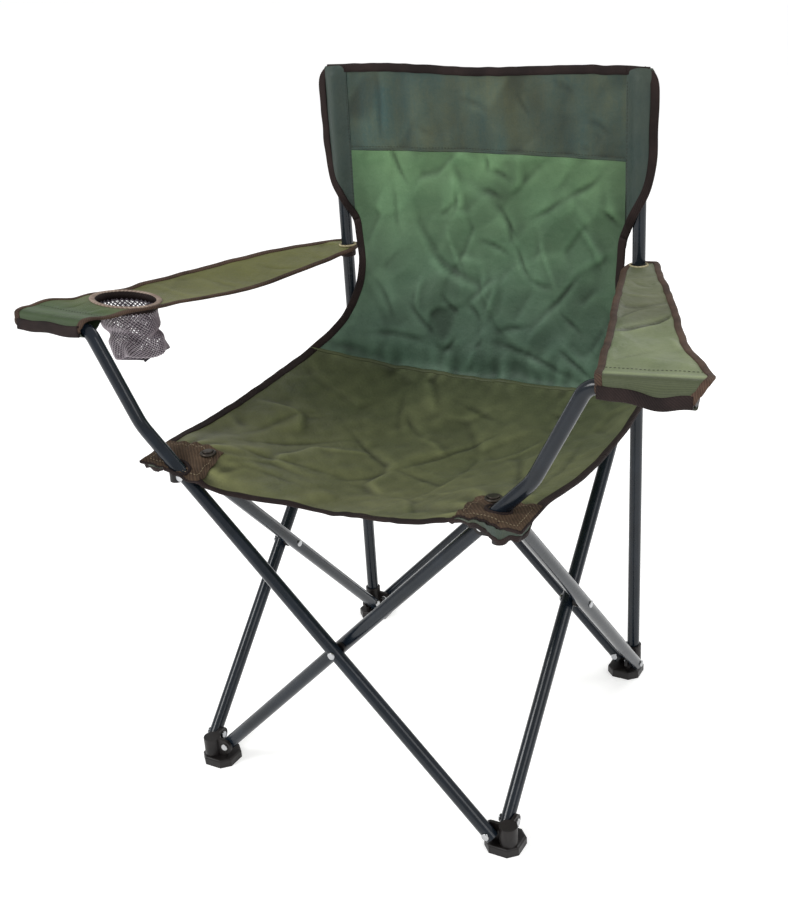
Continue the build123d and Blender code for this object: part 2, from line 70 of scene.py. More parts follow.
# Cloth
CLOTH = 0.0013
TAPE_WIDTH = 0.0085
TAPE_HALF = 0.0017
LATHE_UV_RADIUS = 0.04
TAPE_LIP = 0.0018  # how far a tape stands out past its hem
CELL = 0.0035  # spacing of the cloth's points
SLEEVE_IN = 0.188  # seam between the back panel and its side sleeves
HEADER_BOTTOM = 0.694
CLOTH_TOP = 0.8
SIDES = ((1, "right"), (-1, "left"))
FORWARD = (0, -1.0, 0)
UP = (0, 0, 1.0)

# Rows of the cloth from the front hem up: half width, hem y and z, middle y and z, exponent, flatness
ROWS = np.array((
    (0.238, -0.2255, 0.4215, -0.206, 0.384, 2.0, 1.0),
    (0.239, -0.168, 0.4205, -0.16, 0.375, 2.0, 0.9),
    (0.246, -0.07, 0.415, -0.066, 0.363, 2.0, 0.3),
    (0.247, 0.04, 0.419, 0.06, 0.364, 2.4, 0.0),
    (0.244, 0.11, 0.427, 0.15, 0.374, 2.8, 0.0),
    (0.24, 0.149, 0.434, 0.214, 0.394, 3.0, 0.0),
    (0.224, 0.174, 0.452, 0.219, 0.424, 2.6, 0.0),
    (0.206, 0.189, 0.476, 0.222, 0.466, 2.2, 0.0),
    (0.186, 0.201, 0.535, 0.2235, 0.535, 2.0, 0.0),
    (0.188, 0.203, 0.6, 0.222, 0.6, 2.0, 0.0),
    (0.188, 0.2045, 0.694, 0.219, 0.694, 2.0, 0.0),
    (0.188, 0.2045, 0.75, 0.217, 0.75, 2.0, 0.0),
    (0.188, 0.2045, 0.8, 0.215, 0.8, 2.0, 0.0),
))
SEAM, WAIST, HEADER = 5, 9, 10  # rows
FLAT_FROM = 0.8
SEAT_SPLIT = 0.205  # where the seat's front half ends and its rear half begins, along the cloth
TUBE_HOLE = TUBE_R + 0.0005
SLEEVE_Y = 0.2047  # between the two layers of a sleeve


# ---------------------------------------------------------------- shapes

def travelled(points):
    """Distance along a line of points, at each of them."""
    return np.concatenate([[0], np.cumsum(np.linalg.norm(np.diff(points, axis=0), axis=1))])


def index_of(values, place):
    """Index of the value nearest to a place."""
    return int(np.argmin(np.abs(values - place)))


def ring_angles(count):
    """Even steps of turn round a circle."""
    return np.linspace(0, 2 * math.pi, count + 1)[:-1]


def repeated(vector, count):
    return np.repeat([vector], count, axis=0)


def lengths():
    """Distance of each row along the cloth, the mean of the middle's and the hem's."""
    hem = np.linalg.norm(np.diff(ROWS[:, :3], axis=0), axis=1)
    middle = np.linalg.norm(np.diff(ROWS[:, 3:5], axis=0), axis=1)
    return np.concatenate([[0], np.cumsum((hem + middle) / 2)])


ALONG = lengths()


def through(stations, values, at):
    """Smooth curve through values given at stations, read at some places."""
    stations, values = np.asarray(stations, float), np.asarray(values, float)
    at, last = np.asarray(at, float), len(stations) - 1
    before, after = np.maximum(np.arange(last + 1) - 1, 0), np.minimum(np.arange(last + 1) + 1, last)
    i = np.clip(np.searchsorted(stations, at, side="right") - 1, 0, last - 1)
    step = stations[i + 1] - stations[i]
    t = (at - stations[i]) / step
    run = stations[after] - stations[before]
    if values.ndim > 1:
        run, step, t = run[:, None], np.expand_dims(step, -1), np.expand_dims(t, -1)
    slope = (values[after] - values[before]) / run
    h1, h2 = 2 * t**3 - 3 * t**2 + 1, t**3 - 2 * t**2 + t
    h3, h4 = -2 * t**3 + 3 * t**2, t**3 - t**2
    return h1 * values[i] + h2 * step * slope[i] + h3 * values[i + 1] + h4 * step * slope[i + 1]


def smooth(t):
    """0 below 0, 1 above 1, smooth between."""
    t = np.clip(t, 0, 1)
    return t * t * (3 - 2 * t)


def bell(d):
    """1 at 0, 0 at 1 and beyond."""
    return np.cos(np.clip(np.abs(d), 0, 1) * math.pi / 2) ** 2


def row_points(s, shares):
    """The cloth's points along one row, at a distance along the cloth and at shares of its half width."""
    width, hem_y, hem_z, mid_y, mid_z, exponent, flat = through(ALONG, ROWS, s)
    share = np.abs(shares)
    f = (1 - flat) * share**exponent + flat * smooth(share / FLAT_FROM)
    points = np.zeros((len(shares), 3))
    points[:, 0] = shares * width
    points[:, 1] = mid_y + (hem_y - mid_y) * f
    points[:, 2] = mid_z + (hem_z - mid_z) * f
    return points


def grid_normals(p):
    """Unit normals of a grid of points, rows by columns."""
    across = np.gradient(p, axis=1)
    along = np.gradient(p, axis=0)
    n = np.cross(across, along)
    return n / np.maximum(np.linalg.norm(n, axis=2, keepdims=True), 1e-9)


def waves(x, y, seed, shortest, longest, count=14):
    """Smooth seeded noise of about -1 to 1."""
    rng = np.random.default_rng(seed)
    total = np.zeros(np.shape(x))
    for _ in range(count):
        turn, phase = rng.uniform(0, 2 * math.pi, 2)
        k = 2 * math.pi / rng.uniform(shortest, longest)
        total = total + np.cos(k * (x * math.cos(turn) + y * math.sin(turn)) + phase)
    return total / math.sqrt(count)


def crumple(x, y, seed, cell, tilt, soft=0.05, level=0.0):
    """Flat facets that meet in soft creases, each tilted and set off by its own amount."""
    rng = np.random.default_rng(seed)
    xs = np.arange(x.min() - cell, x.max() + cell, cell)
    ys = np.arange(y.min() - cell, y.max() + cell, cell)
    height, weight = np.zeros(x.shape), np.zeros(x.shape)
    centres = [(a, b) for a in xs for b in ys]
    jitter = rng.uniform(-0.45, 0.45, (len(centres), 2)) * cell
    slope = rng.normal(0, 1, (len(centres), 2)) * tilt
    offset = rng.normal(0, 1, len(centres)) * level
    for (a, b), (da, db), (ga, gb), rise in zip(centres, jitter, slope, offset):
        dx, dy = x - a - da, y - b - db
        w = np.exp(-(dx * dx + dy * dy) / (soft * cell * cell * 2))
        height += w * (ga * dx + gb * dy + rise)
        weight += w
    return height / np.maximum(weight, 1e-12)


def folds(x, y, lines):
    """Sharp creases along given lines: start, end, half width and height; each fades at its ends."""
    total = np.zeros(x.shape)
    for (x0, y0), (x1, y1), width, height in lines:
        dx, dy = x1 - x0, y1 - y0
        long = math.hypot(dx, dy)
        t = ((x - x0) * dx + (y - y0) * dy) / long**2
        d = ((x - x0) * dy - (y - y0) * dx) / long
        d = d + 0.35 * width * np.sin(t * 5 + x0 * 40)
        near = np.exp(-np.abs(d / width)) - 0.38 * np.exp(-(d / (2.8 * width)) ** 2)
        total += height * near * bell((t - 0.5) / 0.66)
    return total


def painted_fold_shade(height, cell, scale, limit):
    """Painted light and shade of the cloth from its folds: painted shade below 0 in a valley and painted
    highlight above 0 on a ridge.
    """
    h = np.pad(height, 2, mode="edge")
    h = (h[:-1, :-1] + h[1:, :-1] + h[:-1, 1:] + h[1:, 1:]) / 4
    h = (h[:-1, :-1] + h[1:, :-1] + h[:-1, 1:] + h[1:, 1:]) / 4
    around = (h[:-2, 1:-1] + h[2:, 1:-1] + h[1:-1, :-2] + h[1:-1, 2:]) / 4
    return np.clip((h[1:-1, 1:-1] - around) / cell**2 * scale, -limit, limit)


def new_object(name, verts, faces, material, uv, normals=None, tone=None):
    """A smooth mesh object with its points' flat-cloth coordinates as UV."""
    mesh = bpy.data.meshes.new(name)
    mesh.from_pydata([tuple(v) for v in verts], [], [tuple(int(i) for i in f) for f in faces])
    mesh.validate()
    mesh.polygons.foreach_set("use_smooth", [True] * len(mesh.polygons))
    layer = mesh.uv_layers.new(name="flat")
    corner = np.zeros(len(mesh.loops), np.int32)
    mesh.loops.foreach_get("vertex_index", corner)
    layer.data.foreach_set("uv", np.asarray(uv, np.float32)[corner].ravel())
    if tone is not None:
        shade = mesh.attributes.new("shade", "FLOAT", "POINT")
        shade.data.foreach_set("value", np.asarray(tone, np.float32))
    if normals is not None:
        mesh.normals_split_custom_set_from_vertices([tuple(n) for n in normals])
    mesh.materials.append(material)
    obj = bpy.data.objects.new(name, mesh)
    bpy.context.collection.objects.link(obj)
    return obj


def cloth_object(name, p, n, uv, material, thick=CLOTH, keep=None, tone=None):
    """A closed sheet of even thickness over a grid; keep says which cells stay."""
    rows, cols = p.shape[:2]
    index = np.arange(rows * cols).reshape(rows, cols)
    quads = np.stack([index[:-1, :-1], index[:-1, 1:], index[1:, 1:], index[1:, :-1]], axis=2)
    quads = quads.reshape(-1, 4) if keep is None else quads[keep]
    used = np.unique(quads)
    place = -np.ones(rows * cols, int)
    place[used] = np.arange(len(used))
    quads = place[quads]
    flat_p, flat_n = p.reshape(-1, 3)[used], n.reshape(-1, 3)[used]
    flat_uv = uv.reshape(-1, 2)[used]
    count = len(used)
    edges = {}
    for q in quads:
        for a, b in zip(q, np.roll(q, -1)):
            edges.setdefault(frozenset((int(a), int(b))), []).append((int(a), int(b)))
    rim = [e[0] for e in edges.values() if len(e) == 1]
    faces = [tuple(q) for q in quads] + [tuple(q[::-1] + count) for q in quads]
    faces += [(b, a, a + count, b + count) for a, b in rim]
    verts = np.concatenate([flat_p + flat_n * thick / 2, flat_p - flat_n * thick / 2])
    shade = np.zeros(count) if tone is None else tone.reshape(-1)[used]
    return new_object(name, verts, faces, material, np.concatenate([flat_uv] * 2),
                      np.concatenate([flat_n, -flat_n]), np.concatenate([shade] * 2))


def swept(name, centre, across, up, section, material, closed=False):
    """A section, given in two directions, swept along points."""
    centre, across, up = (np.asarray(a, float) for a in (centre, across, up))
    rings = [c + (np.outer(section[:, 0], a) + np.outer(section[:, 1], b))
             for c, a, b in zip(centre, across, up)]
    k, m = len(section), len(rings)
    verts = np.concatenate(rings)
    uv = np.array([(a, g) for a in travelled(centre) for g in travelled(section)])
    faces = []
    for i in range(m if closed else m - 1):
        j = (i + 1) % m
        for a in range(k):
            b = (a + 1) % k
            faces.append((i * k + a, i * k + b, j * k + b, j * k + a))
    if not closed:
        faces.append(tuple(range(k))[::-1])
        faces.append(tuple(range((m - 1) * k, m * k)))
    return new_object(name, verts, faces, material, uv)


def tape_section(width, half):
    """Binding tape folded over a hem: (into the cloth, along its normal)."""
    side = np.array(((-TAPE_LIP, half * 0.35), (-TAPE_LIP * 0.5, half * 0.85), (0.001, half),
                     (width * 0.5, half * 0.95), (width * 0.92, half), (width, half * 0.6)))
    return np.concatenate([side[:1] * (1, -1), side, side[:0:-1] * (1, -1)])


def unit(v):
    return v / np.maximum(np.linalg.norm(v, axis=-1, keepdims=True), 1e-9)


def mouth_tape(name, edge, inner, normal, material, seed, width, half, wavy):
    """Narrow tape along a sleeve's mouth, a little uneven in and out of the cloth."""
    inner, normal = unit(inner), unit(normal)
    along = travelled(edge)
    shift = wavy * waves(along, along * 0, seed, 0.02, 0.09)
    lift = 0.6 * wavy * waves(along, along * 0, seed + 1, 0.015, 0.07)
    centre = edge + inner * shift[:, None] * 0.7 + normal * lift[:, None]
    return swept(name, centre, inner, normal, tape_section(width, half), material)


def stitches(name, path, normal, material, pitch=0.0042, share=0.62, radius=0.00038):
    """A row of sewn stitches: short rounded threads along a path, just proud of the cloth."""
    path, normal = np.asarray(path, float), unit(np.asarray(normal, float))
    along = travelled(path)
    at = np.arange(pitch / 2, along[-1] - pitch / 2, pitch)
    verts, faces = [], []
    shape = ((-0.5, 0.35, -0.4), (-0.3, 1.0, 0.3), (0.3, 1.0, 0.3), (0.5, 0.35, -0.4))
    for s in at:
        c = np.array([np.interp(s, along, path[:, k]) for k in range(3)])
        ahead = np.array([np.interp(s + 0.001, along, path[:, k]) for k in range(3)])
        n = unit(np.array([np.interp(s, along, normal[:, k]) for k in range(3)]))
        t = unit(ahead - c)
        side = np.cross(n, t)
        base = len(verts)
        for where, wide, high in shape:
            for turn in range(6):
                a = turn * math.pi / 3
                verts.append(c + t * where * pitch * share
                             + (side * math.cos(a) + n * math.sin(a)) * radius * wide + n * radius * high)
        for ring in range(3):
            for k in range(6):
                a, b = base + ring * 6 + k, base + ring * 6 + (k + 1) % 6
                faces.append((a, b, b + 6, a + 6))
        faces.append(tuple(base + k for k in range(6))[::-1])
        faces.append(tuple(base + 18 + k for k in range(6)))
    return new_object(name, verts, faces, material, np.asarray(verts)[:, :2])


def lathe(name, profile, centre, material, count, warp=None):
    """A closed profile of (radius, height) turned about an upright axis; warp adds to its radius."""
    verts, faces = [], []
    k = len(profile)
    for i in range(count):
        a = 2 * math.pi * i / count
        for r, z in profile:
            r2 = r if warp is None else r + warp(a, z)
            verts.append((centre[0] + r2 * math.cos(a), centre[1] + r2 * math.sin(a), centre[2] + z))
    for i in range(count):
        j = (i + 1) % count
        for a in range(k):
            b = (a + 1) % k
            faces.append((i * k + b, i * k + a, j * k + a, j * k + b))
    uv = [(LATHE_UV_RADIUS * 2 * math.pi * i / count, z) for i in range(count) for _, z in profile]
    return new_object(name, verts, faces, material, uv)


# ---------------------------------------------------------------- materials

WEAVE_PITCH = 0.0011
GRAIN = 0.0005  # height of threads, ribs and orange peel


def principled(name, **sockets):
    material = bpy.data.materials.new(name)
    material.use_nodes = True
    tree = material.node_tree
    shader = tree.nodes["Principled BSDF"]
    for key, value in sockets.items():
        shader.inputs[key.replace("_", " ")].default_value = value
    return material, tree, shader


def node(tree, kind, inputs=None, **settings):
    made = tree.nodes.new("ShaderNode" + kind)
    for key, value in settings.items():
        setattr(made, key, value)
    for key, value in (inputs or {}).items():
        if isinstance(value, bpy.types.NodeSocket):
            tree.links.new(value, made.inputs[key])
        else:
            made.inputs[key].default_value = value
    return made


def noise(tree, coords, scale, detail=3.0, roughness=0.55, stretch=None):
    if stretch:
        coords = node(tree, "Mapping", {"Vector": coords, "Scale": stretch}).outputs["Vector"]
    return node(tree, "TexNoise", {"Vector": coords, "Scale": scale, "Detail": detail,
                                   "Roughness": roughness}).outputs["Fac"]


def ramp(tree, value, low, high):
    """The value stretched from low..high to 0..1."""
    return node(tree, "MapRange", {"Value": value, "From Min": low, "From Max": high}).outputs["Result"]


def blend_colour(tree, factor, a, b, mode="MIX"):
    mix = node(tree, "Mix", data_type="RGBA", blend_type=mode)
    for index, value in ((0, factor), (6, a), (7, b)):
        if isinstance(value, bpy.types.NodeSocket):
            tree.links.new(value, mix.inputs[index])
        else:
            mix.inputs[index].default_value = value if index == 0 else (*value, 1.0)
    return mix.outputs[2]


def math_node(tree, operation, a, b=0.5):
    return node(tree, "Math", {0: a, 1: b}, operation=operation).outputs[0]


def toned(tree, coords, tone, near, far, axis, start, end):
    """Two pairs of colours, mixed by tone and, from start to end, by the place along an axis."""
    colour = blend_colour(tree, tone, *near)
    if far is None:
        return colour
    split = node(tree, "SeparateXYZ", {"Vector": coords})
    share = ramp(tree, split.outputs[axis], start, end)
    return blend_colour(tree, share, colour, blend_colour(tree, tone, *far))


def weighted(tree, *terms):
    """Sum of values, each times its weight."""
    total, *rest = (math_node(tree, "MULTIPLY", value, weight) for value, weight in terms)
    for term in rest:
        total = math_node(tree, "ADD", total, term)
    return total


def dented(tree, strength, distance, height, **under):
    """Normal of a bumpy surface, over another normal if one is given."""
    return node(tree, "Bump", {"Strength": strength, "Distance": distance, "Height": height,
                               **under}).outputs["Normal"]


def bands_scale(pitch):
    """Scale of a wave texture whose bands come at a pitch in metres."""
    return 2 * math.pi / (20 * pitch)


def banded(tree, flat, scale, direction, distortion, detail):
    return node(tree, "TexWave", {"Vector": flat, "Scale": scale, "Distortion": distortion, "Detail": detail},
                bands_direction=direction).outputs["Fac"]


def woven(name, dark, light, far=None, axis="Z", start=0.0, end=1.0, blotch=9.0, stretch=(1.0, 0.25, 2.2),
          wear=(0.2, 0.19, 0.13)):
    """Coated polyester cloth: a plain weave with painted shade between its threads, uneven colour, painted
    shade in fold hollows and painted highlight on fold ridges, and rubbed spots.
    """
    material, tree, shader = principled(name, Roughness=0.8, Sheen_Weight=0.06, Sheen_Roughness=0.45,
                                        Specular_IOR_Level=0.25)
    coords = node(tree, "TexCoord")
    flat, place = coords.outputs["UV"], coords.outputs["Object"]
    threads = bands_scale(WEAVE_PITCH)
    warp = banded(tree, flat, threads, "X", 0.4, 1.0)
    weft = banded(tree, flat, threads * 0.93, "Y", 0.4, 1.0)
    weave = math_node(tree, "MULTIPLY", math_node(tree, "ADD", warp, weft), 0.5)
    broad = ramp(tree, noise(tree, place, blotch, 4.0), 0.32, 0.68)
    fine = ramp(tree, noise(tree, place, 260.0, 2.0, 0.7), 0.3, 0.7)
    streak = ramp(tree, noise(tree, place, 26.0, 3.0, 0.6, stretch), 0.3, 0.7)
    tone = weighted(tree, (broad, 0.5), (streak, 0.32), (fine, 0.18))
    shade = node(tree, "Attribute", attribute_name="shade").outputs["Fac"]
    colour = toned(tree, place, tone, (dark, light), far, axis, start, end)
    # Painted shade between the threads: the weave's gaps are darkened
    gaps = blend_colour(tree, ramp(tree, weave, 0.15, 0.6), (0.62, 0.62, 0.62), (1.0, 1.0, 1.0))
    colour = blend_colour(tree, 1.0, colour, gaps, "MULTIPLY")
    rub = ramp(tree, noise(tree, place, 55.0, 5.0, 0.75), 0.64, 0.86)
    colour = blend_colour(tree, math_node(tree, "MULTIPLY", rub, 0.25), colour, wear)
    # Painted shade in fold hollows and painted highlight on fold ridges, read from the shade attribute
    depth = blend_colour(tree, ramp(tree, shade, -0.5, 0.5), (0.4, 0.4, 0.4), (1.6, 1.6, 1.6))
    colour = blend_colour(tree, 1.0, colour, depth, "MULTIPLY")
    tree.links.new(colour, shader.inputs["Base Color"])
    uneven = weighted(tree, (weave, 0.6), (noise(tree, place, 420.0, 2.0), 0.6))
    threaded = dented(tree, 0.45, GRAIN, uneven)
    soft = dented(tree, 0.6, 0.004, noise(tree, place, 34.0, 4.0, 0.6), Normal=threaded)
    tree.links.new(soft, shader.inputs["Normal"])
    tree.links.new(ramp(tree, tone, -1.2, 2.2), shader.inputs["Roughness"])
    return material


def webbing(name, dark, light, rib=0.0016):
    """Narrow woven tape, ribbed across its length."""
    material, tree, shader = principled(name, Roughness=0.7, Specular_IOR_Level=0.18)
    coords = node(tree, "TexCoord")
    flat, place = coords.outputs["UV"], coords.outputs["Object"]
    ribs = banded(tree, flat, bands_scale(rib), "DIAGONAL", 1.2, 2.0)
    broad = ramp(tree, noise(tree, place, 30.0, 4.0, 0.65), 0.35, 0.7)
    fine = noise(tree, place, 500.0, 2.0, 0.6)
    tone = weighted(tree, (broad, 0.6), (ribs, 0.4))
    tree.links.new(blend_colour(tree, tone, dark, light), shader.inputs["Base Color"])
    height = math_node(tree, "ADD", ribs, math_node(tree, "MULTIPLY", fine, 0.6))
    tree.links.new(dented(tree, 0.5, GRAIN, height), shader.inputs["Normal"])
    return material


def coated(name, dark, light, rough, scale=180.0, metallic=0.0, coat=0.0, spec=0.5):
    """Painted or moulded hard surface: faint mottling, fine orange peel and rubbed places."""
    material, tree, shader = principled(name, Metallic=metallic, Coat_Weight=coat, Coat_Roughness=0.12,
                                        Specular_IOR_Level=spec)
    place = node(tree, "TexCoord").outputs["Object"]
    broad = ramp(tree, noise(tree, place, 22.0, 5.0, 0.65), 0.35, 0.72)
    fine = noise(tree, place, scale, 3.0)
    tree.links.new(blend_colour(tree, broad, dark, light), shader.inputs["Base Color"])
    worn = node(tree, "MapRange", {"Value": noise(tree, place, 70.0, 4.0, 0.7), "From Min": 0.3,
                                   "From Max": 0.75, "To Min": rough * 0.8, "To Max": rough * 1.35})
    tree.links.new(worn.outputs["Result"], shader.inputs["Roughness"])
    tree.links.new(dented(tree, 0.3, GRAIN, fine), shader.inputs["Normal"])
    return material


ACROSS = (2.4, 1.0, 0.35)  # streaks of cloth that is cut across the roll
# The seat's second pair of colours, reached towards the rear, is darker: painted shade towards the back
M_SEAT = woven("seat_weave", (0.084, 0.094, 0.038), (0.168, 0.174, 0.07),
               ((0.056, 0.07, 0.033), (0.112, 0.13, 0.06)), "Y", -0.16, 0.2)
# The back's second pair of colours, reached towards the top, is brighter and greener: painted light shining
# through the cloth from behind
M_BACK = woven("back_weave", (0.056, 0.104, 0.072), (0.094, 0.154, 0.106),
               ((0.076, 0.156, 0.071), (0.128, 0.228, 0.108)), "Z", 0.46, 0.7, wear=(0.16, 0.24, 0.14))
M_HEADER = woven("header_weave", (0.026, 0.06, 0.058), (0.08, 0.09, 0.05), blotch=12.0, stretch=ACROSS)
M_SLEEVE = woven("sleeve_weave", (0.03, 0.054, 0.05), (0.064, 0.082, 0.063), blotch=12.0, stretch=ACROSS)
M_ARM = woven("arm_weave", (0.105, 0.11, 0.034), (0.2, 0.205, 0.066),
              ((0.04, 0.075, 0.028), (0.08, 0.125, 0.048)), "Y", -0.1, -0.19)
# Right arm cloth: the paler front pair is painted light on its top, and the darker pair reached towards the
# rear is painted shade past the crease
M_ARM_PALE = woven("arm_weave_pale", (0.13, 0.165, 0.078), (0.235, 0.275, 0.14),
                   ((0.1, 0.12, 0.055), (0.19, 0.205, 0.105)), "Y", -0.06, 0.03)
M_TAPE = webbing("binding_tape", (0.0075, 0.0045, 0.0045), (0.03, 0.018, 0.016))
M_ARM_TAPE = webbing("arm_tape", (0.022, 0.013, 0.009), (0.115, 0.07, 0.048))
M_PATCH = webbing("patch_weave", (0.03, 0.019, 0.012), (0.11, 0.072, 0.045), rib=0.0022)
M_THREAD = coated("sewing_thread", (0.16, 0.12, 0.07), (0.33, 0.27, 0.17), 0.7)
M_DARK_THREAD = coated("dark_thread", (0.016, 0.02, 0.012), (0.045, 0.05, 0.03), 0.7)
M_TUBE = coated("tube_paint", (0.003, 0.006, 0.01), (0.0085, 0.014, 0.022), 0.2, coat=0.12, spec=0.3)
M_PLASTIC = coated("black_plastic", (0.005, 0.0042, 0.0046), (0.016, 0.013, 0.012), 0.42, 260.0, spec=0.3)
M_STEEL = coated("rivet_steel", (0.34, 0.35, 0.37), (0.58, 0.58, 0.58), 0.26, metallic=1.0)
M_RING = webbing("ring_tape", (0.15, 0.1, 0.08), (0.46, 0.37, 0.3), rib=0.0026)
M_NET = coated("net_thread", (0.2, 0.155, 0.18), (0.74, 0.67, 0.72), 0.6)
# Dark thread for the inner net, painted shade inside the bag
M_NET_PAINTED_SHADE = coated("net_thread_dark", (0.045, 0.036, 0.05), (0.11, 0.09, 0.11), 0.6)
M_PIPING = webbing("post_piping", (0.26, 0.22, 0.12), (0.52, 0.47, 0.3), rib=0.0024)
M_EYELET = coated("eyelet_bronze", (0.03, 0.024, 0.02), (0.11, 0.092, 0.072), 0.35, metallic=0.7)

for name, obj in NODES.items():
    if "rivet" in name:
        material = M_STEEL
    elif "screw" in name:
        material = M_EYELET
    elif any(key in name for key in ("foot", "hub", "slider", "plug", "cap", "washer")):
        material = M_PLASTIC
    else:
        material = M_TUBE
    obj.data.materials.clear()
    obj.data.materials.append(material)
    for face in obj.data.polygons:
        face.material_index = 0


# ---------------------------------------------------------------- seat and back

# Creases of the back (x, z) and of the seat (x, y): start, end, half width, height
CREASES = (
    ((-0.147, 0.795), (-0.141, 0.7), 0.0065, -0.005), ((-0.141, 0.705), (-0.11, 0.65), 0.0055, -0.0046),
    ((-0.034, 0.762), (0.006, 0.747), 0.0045, -0.003), ((0.043, 0.767), (0.062, 0.742), 0.0045, -0.0024),
    ((0.137, 0.741), (0.168, 0.724), 0.005, -0.003), ((0.128, 0.708), (0.143, 0.7), 0.0035, -0.002),
    ((-0.092, 0.727), (-0.072, 0.713), 0.0045, -0.0024), ((0.095, 0.79), (0.12, 0.765), 0.009, -0.0032),
    ((-0.004, 0.692), (0.002, 0.668), 0.0045, -0.0034), ((0.000, 0.671), (0.036, 0.665), 0.0045, -0.003),
    ((-0.012, 0.646), (0.02, 0.639), 0.0045, -0.0028), ((-0.04, 0.65), (-0.05, 0.612), 0.0045, -0.0032),
    ((-0.04, 0.632), (-0.075, 0.61), 0.005, -0.003), ((0.01, 0.63), (0.042, 0.585), 0.005, -0.0034),
    ((0.158, 0.676), (0.108, 0.64), 0.0055, -0.0038), ((0.11, 0.642), (0.055, 0.613), 0.005, -0.0032),
    ((0.152, 0.632), (0.182, 0.621), 0.005, -0.0026), ((-0.137, 0.655), (-0.125, 0.58), 0.007, -0.0032),
    ((0.024, 0.61), (0.034, 0.576), 0.0042, -0.0034), ((0.034, 0.578), (0.056, 0.532), 0.0042, -0.0038),
    ((0.054, 0.534), (0.086, 0.526), 0.0042, -0.003), ((-0.018, 0.582), (0.03, 0.565), 0.0045, -0.0034),
    ((-0.092, 0.57), (-0.066, 0.538), 0.005, -0.0034), ((-0.122, 0.492), (-0.086, 0.45), 0.005, -0.004),
    ((-0.036, 0.497), (-0.018, 0.468), 0.0042, -0.0032), ((-0.072, 0.506), (-0.048, 0.476), 0.0042, -0.003),
    ((-0.166, 0.525), (-0.138, 0.465), 0.0055, -0.0034), ((0.002, 0.457), (0.055, 0.475), 0.005, -0.0034),
    ((0.072, 0.49), (0.128, 0.548), 0.005, -0.0042), ((0.098, 0.5), (0.13, 0.468), 0.005, -0.003),
    ((0.094, 0.452), (0.15, 0.408), 0.0045, -0.0048), ((-0.01, 0.447), (0.125, 0.412), 0.0065, -0.005),
    ((-0.06, 0.6), (-0.045, 0.51), 0.006, 0.003), ((0.07, 0.6), (0.09, 0.52), 0.006, 0.003),
    ((-0.1, 0.53), (-0.11, 0.47), 0.006, 0.0028), ((0.005, 0.53), (-0.01, 0.47), 0.006, 0.003),
    ((0.12, 0.62), (0.16, 0.56), 0.006, 0.0028), ((-0.18, 0.45), (-0.09, 0.437), 0.0055, -0.0036),
    ((-0.05, 0.446), (-0.075, 0.425), 0.005, -0.0034), ((-0.015, 0.452), (-0.03, 0.428), 0.005, -0.0034),
)
SEAT_FOLDS = (
    ((-0.12, 0.03), (-0.01, -0.036), 0.0075, -0.0042), ((-0.012, -0.038), (0.068, 0.105), 0.007, -0.004),
    ((-0.015, -0.034), (0.085, -0.07), 0.0075, -0.0034), ((-0.01, -0.036), (-0.06, -0.11), 0.008, -0.0024),
    ((-0.195, -0.15), (-0.04, -0.085), 0.01, -0.0034), ((-0.19, -0.12), (-0.09, 0.02), 0.01, -0.0034),
    ((-0.2, -0.1), (-0.165, 0.06), 0.01, -0.003), ((-0.18, -0.18), (-0.05, -0.15), 0.009, -0.0028),
    ((0.19, -0.13), (0.105, 0.06), 0.009, -0.0036), ((0.165, -0.15), (0.06, -0.1), 0.009, 0.0028),
    ((0.21, -0.12), (0.19, 0.08), 0.009, -0.003), ((0.1, 0.165), (0.165, 0.12), 0.007, -0.0034),
    ((-0.03, 0.165), (0.06, 0.125), 0.007, -0.0034), ((-0.11, 0.17), (-0.06, 0.06), 0.008, -0.003),
    ((-0.04, 0.07), (0.02, 0.03), 0.007, 0.003), ((0.08, 0.01), (0.15, 0.09), 0.008, 0.003),
    ((-0.13, -0.06), (-0.05, 0.000), 0.008, 0.0028), ((-0.15, -0.205), (-0.135, -0.165), 0.005, -0.0034),
    ((-0.08, 0.12), (-0.03, 0.06), 0.006, -0.0028),
)


# Painted shade of a crease for each metre of its height
BACK_CREASE_PAINTED_SHADE = 17.0
SEAT_CREASE_PAINTED_SHADE = 14.0
ARM_CREASE_PAINTED_SHADE = 8.0
# Two layers of facets in the back: shear and squeeze of the cloth, seed, cell, tilt, softness, and strength
# of the light and shade painted on each facet
BACK_FACETS = ((0.3, 0.62, 3, 0.06, 0.06, 0.045, 0.12), (-0.45, 0.8, 5, 0.034, 0.05, 0.06, 0.095))


def cloth_grid(half_cells):
    """Points of the main cloth, rows by columns, their distance along it and share across, and flat place."""
    at = np.linspace(0, ALONG[-1], round(ALONG[-1] / CELL) + 1)
    shares = np.linspace(-1, 1, 2 * half_cells + 1)
    p = np.stack([row_points(s, shares) for s in at])
    s = np.repeat(at[:, None], len(shares), axis=1)
    return p, s, np.repeat(shares[None, :], len(at), axis=0), np.stack([p[:, :, 0], s], axis=2)


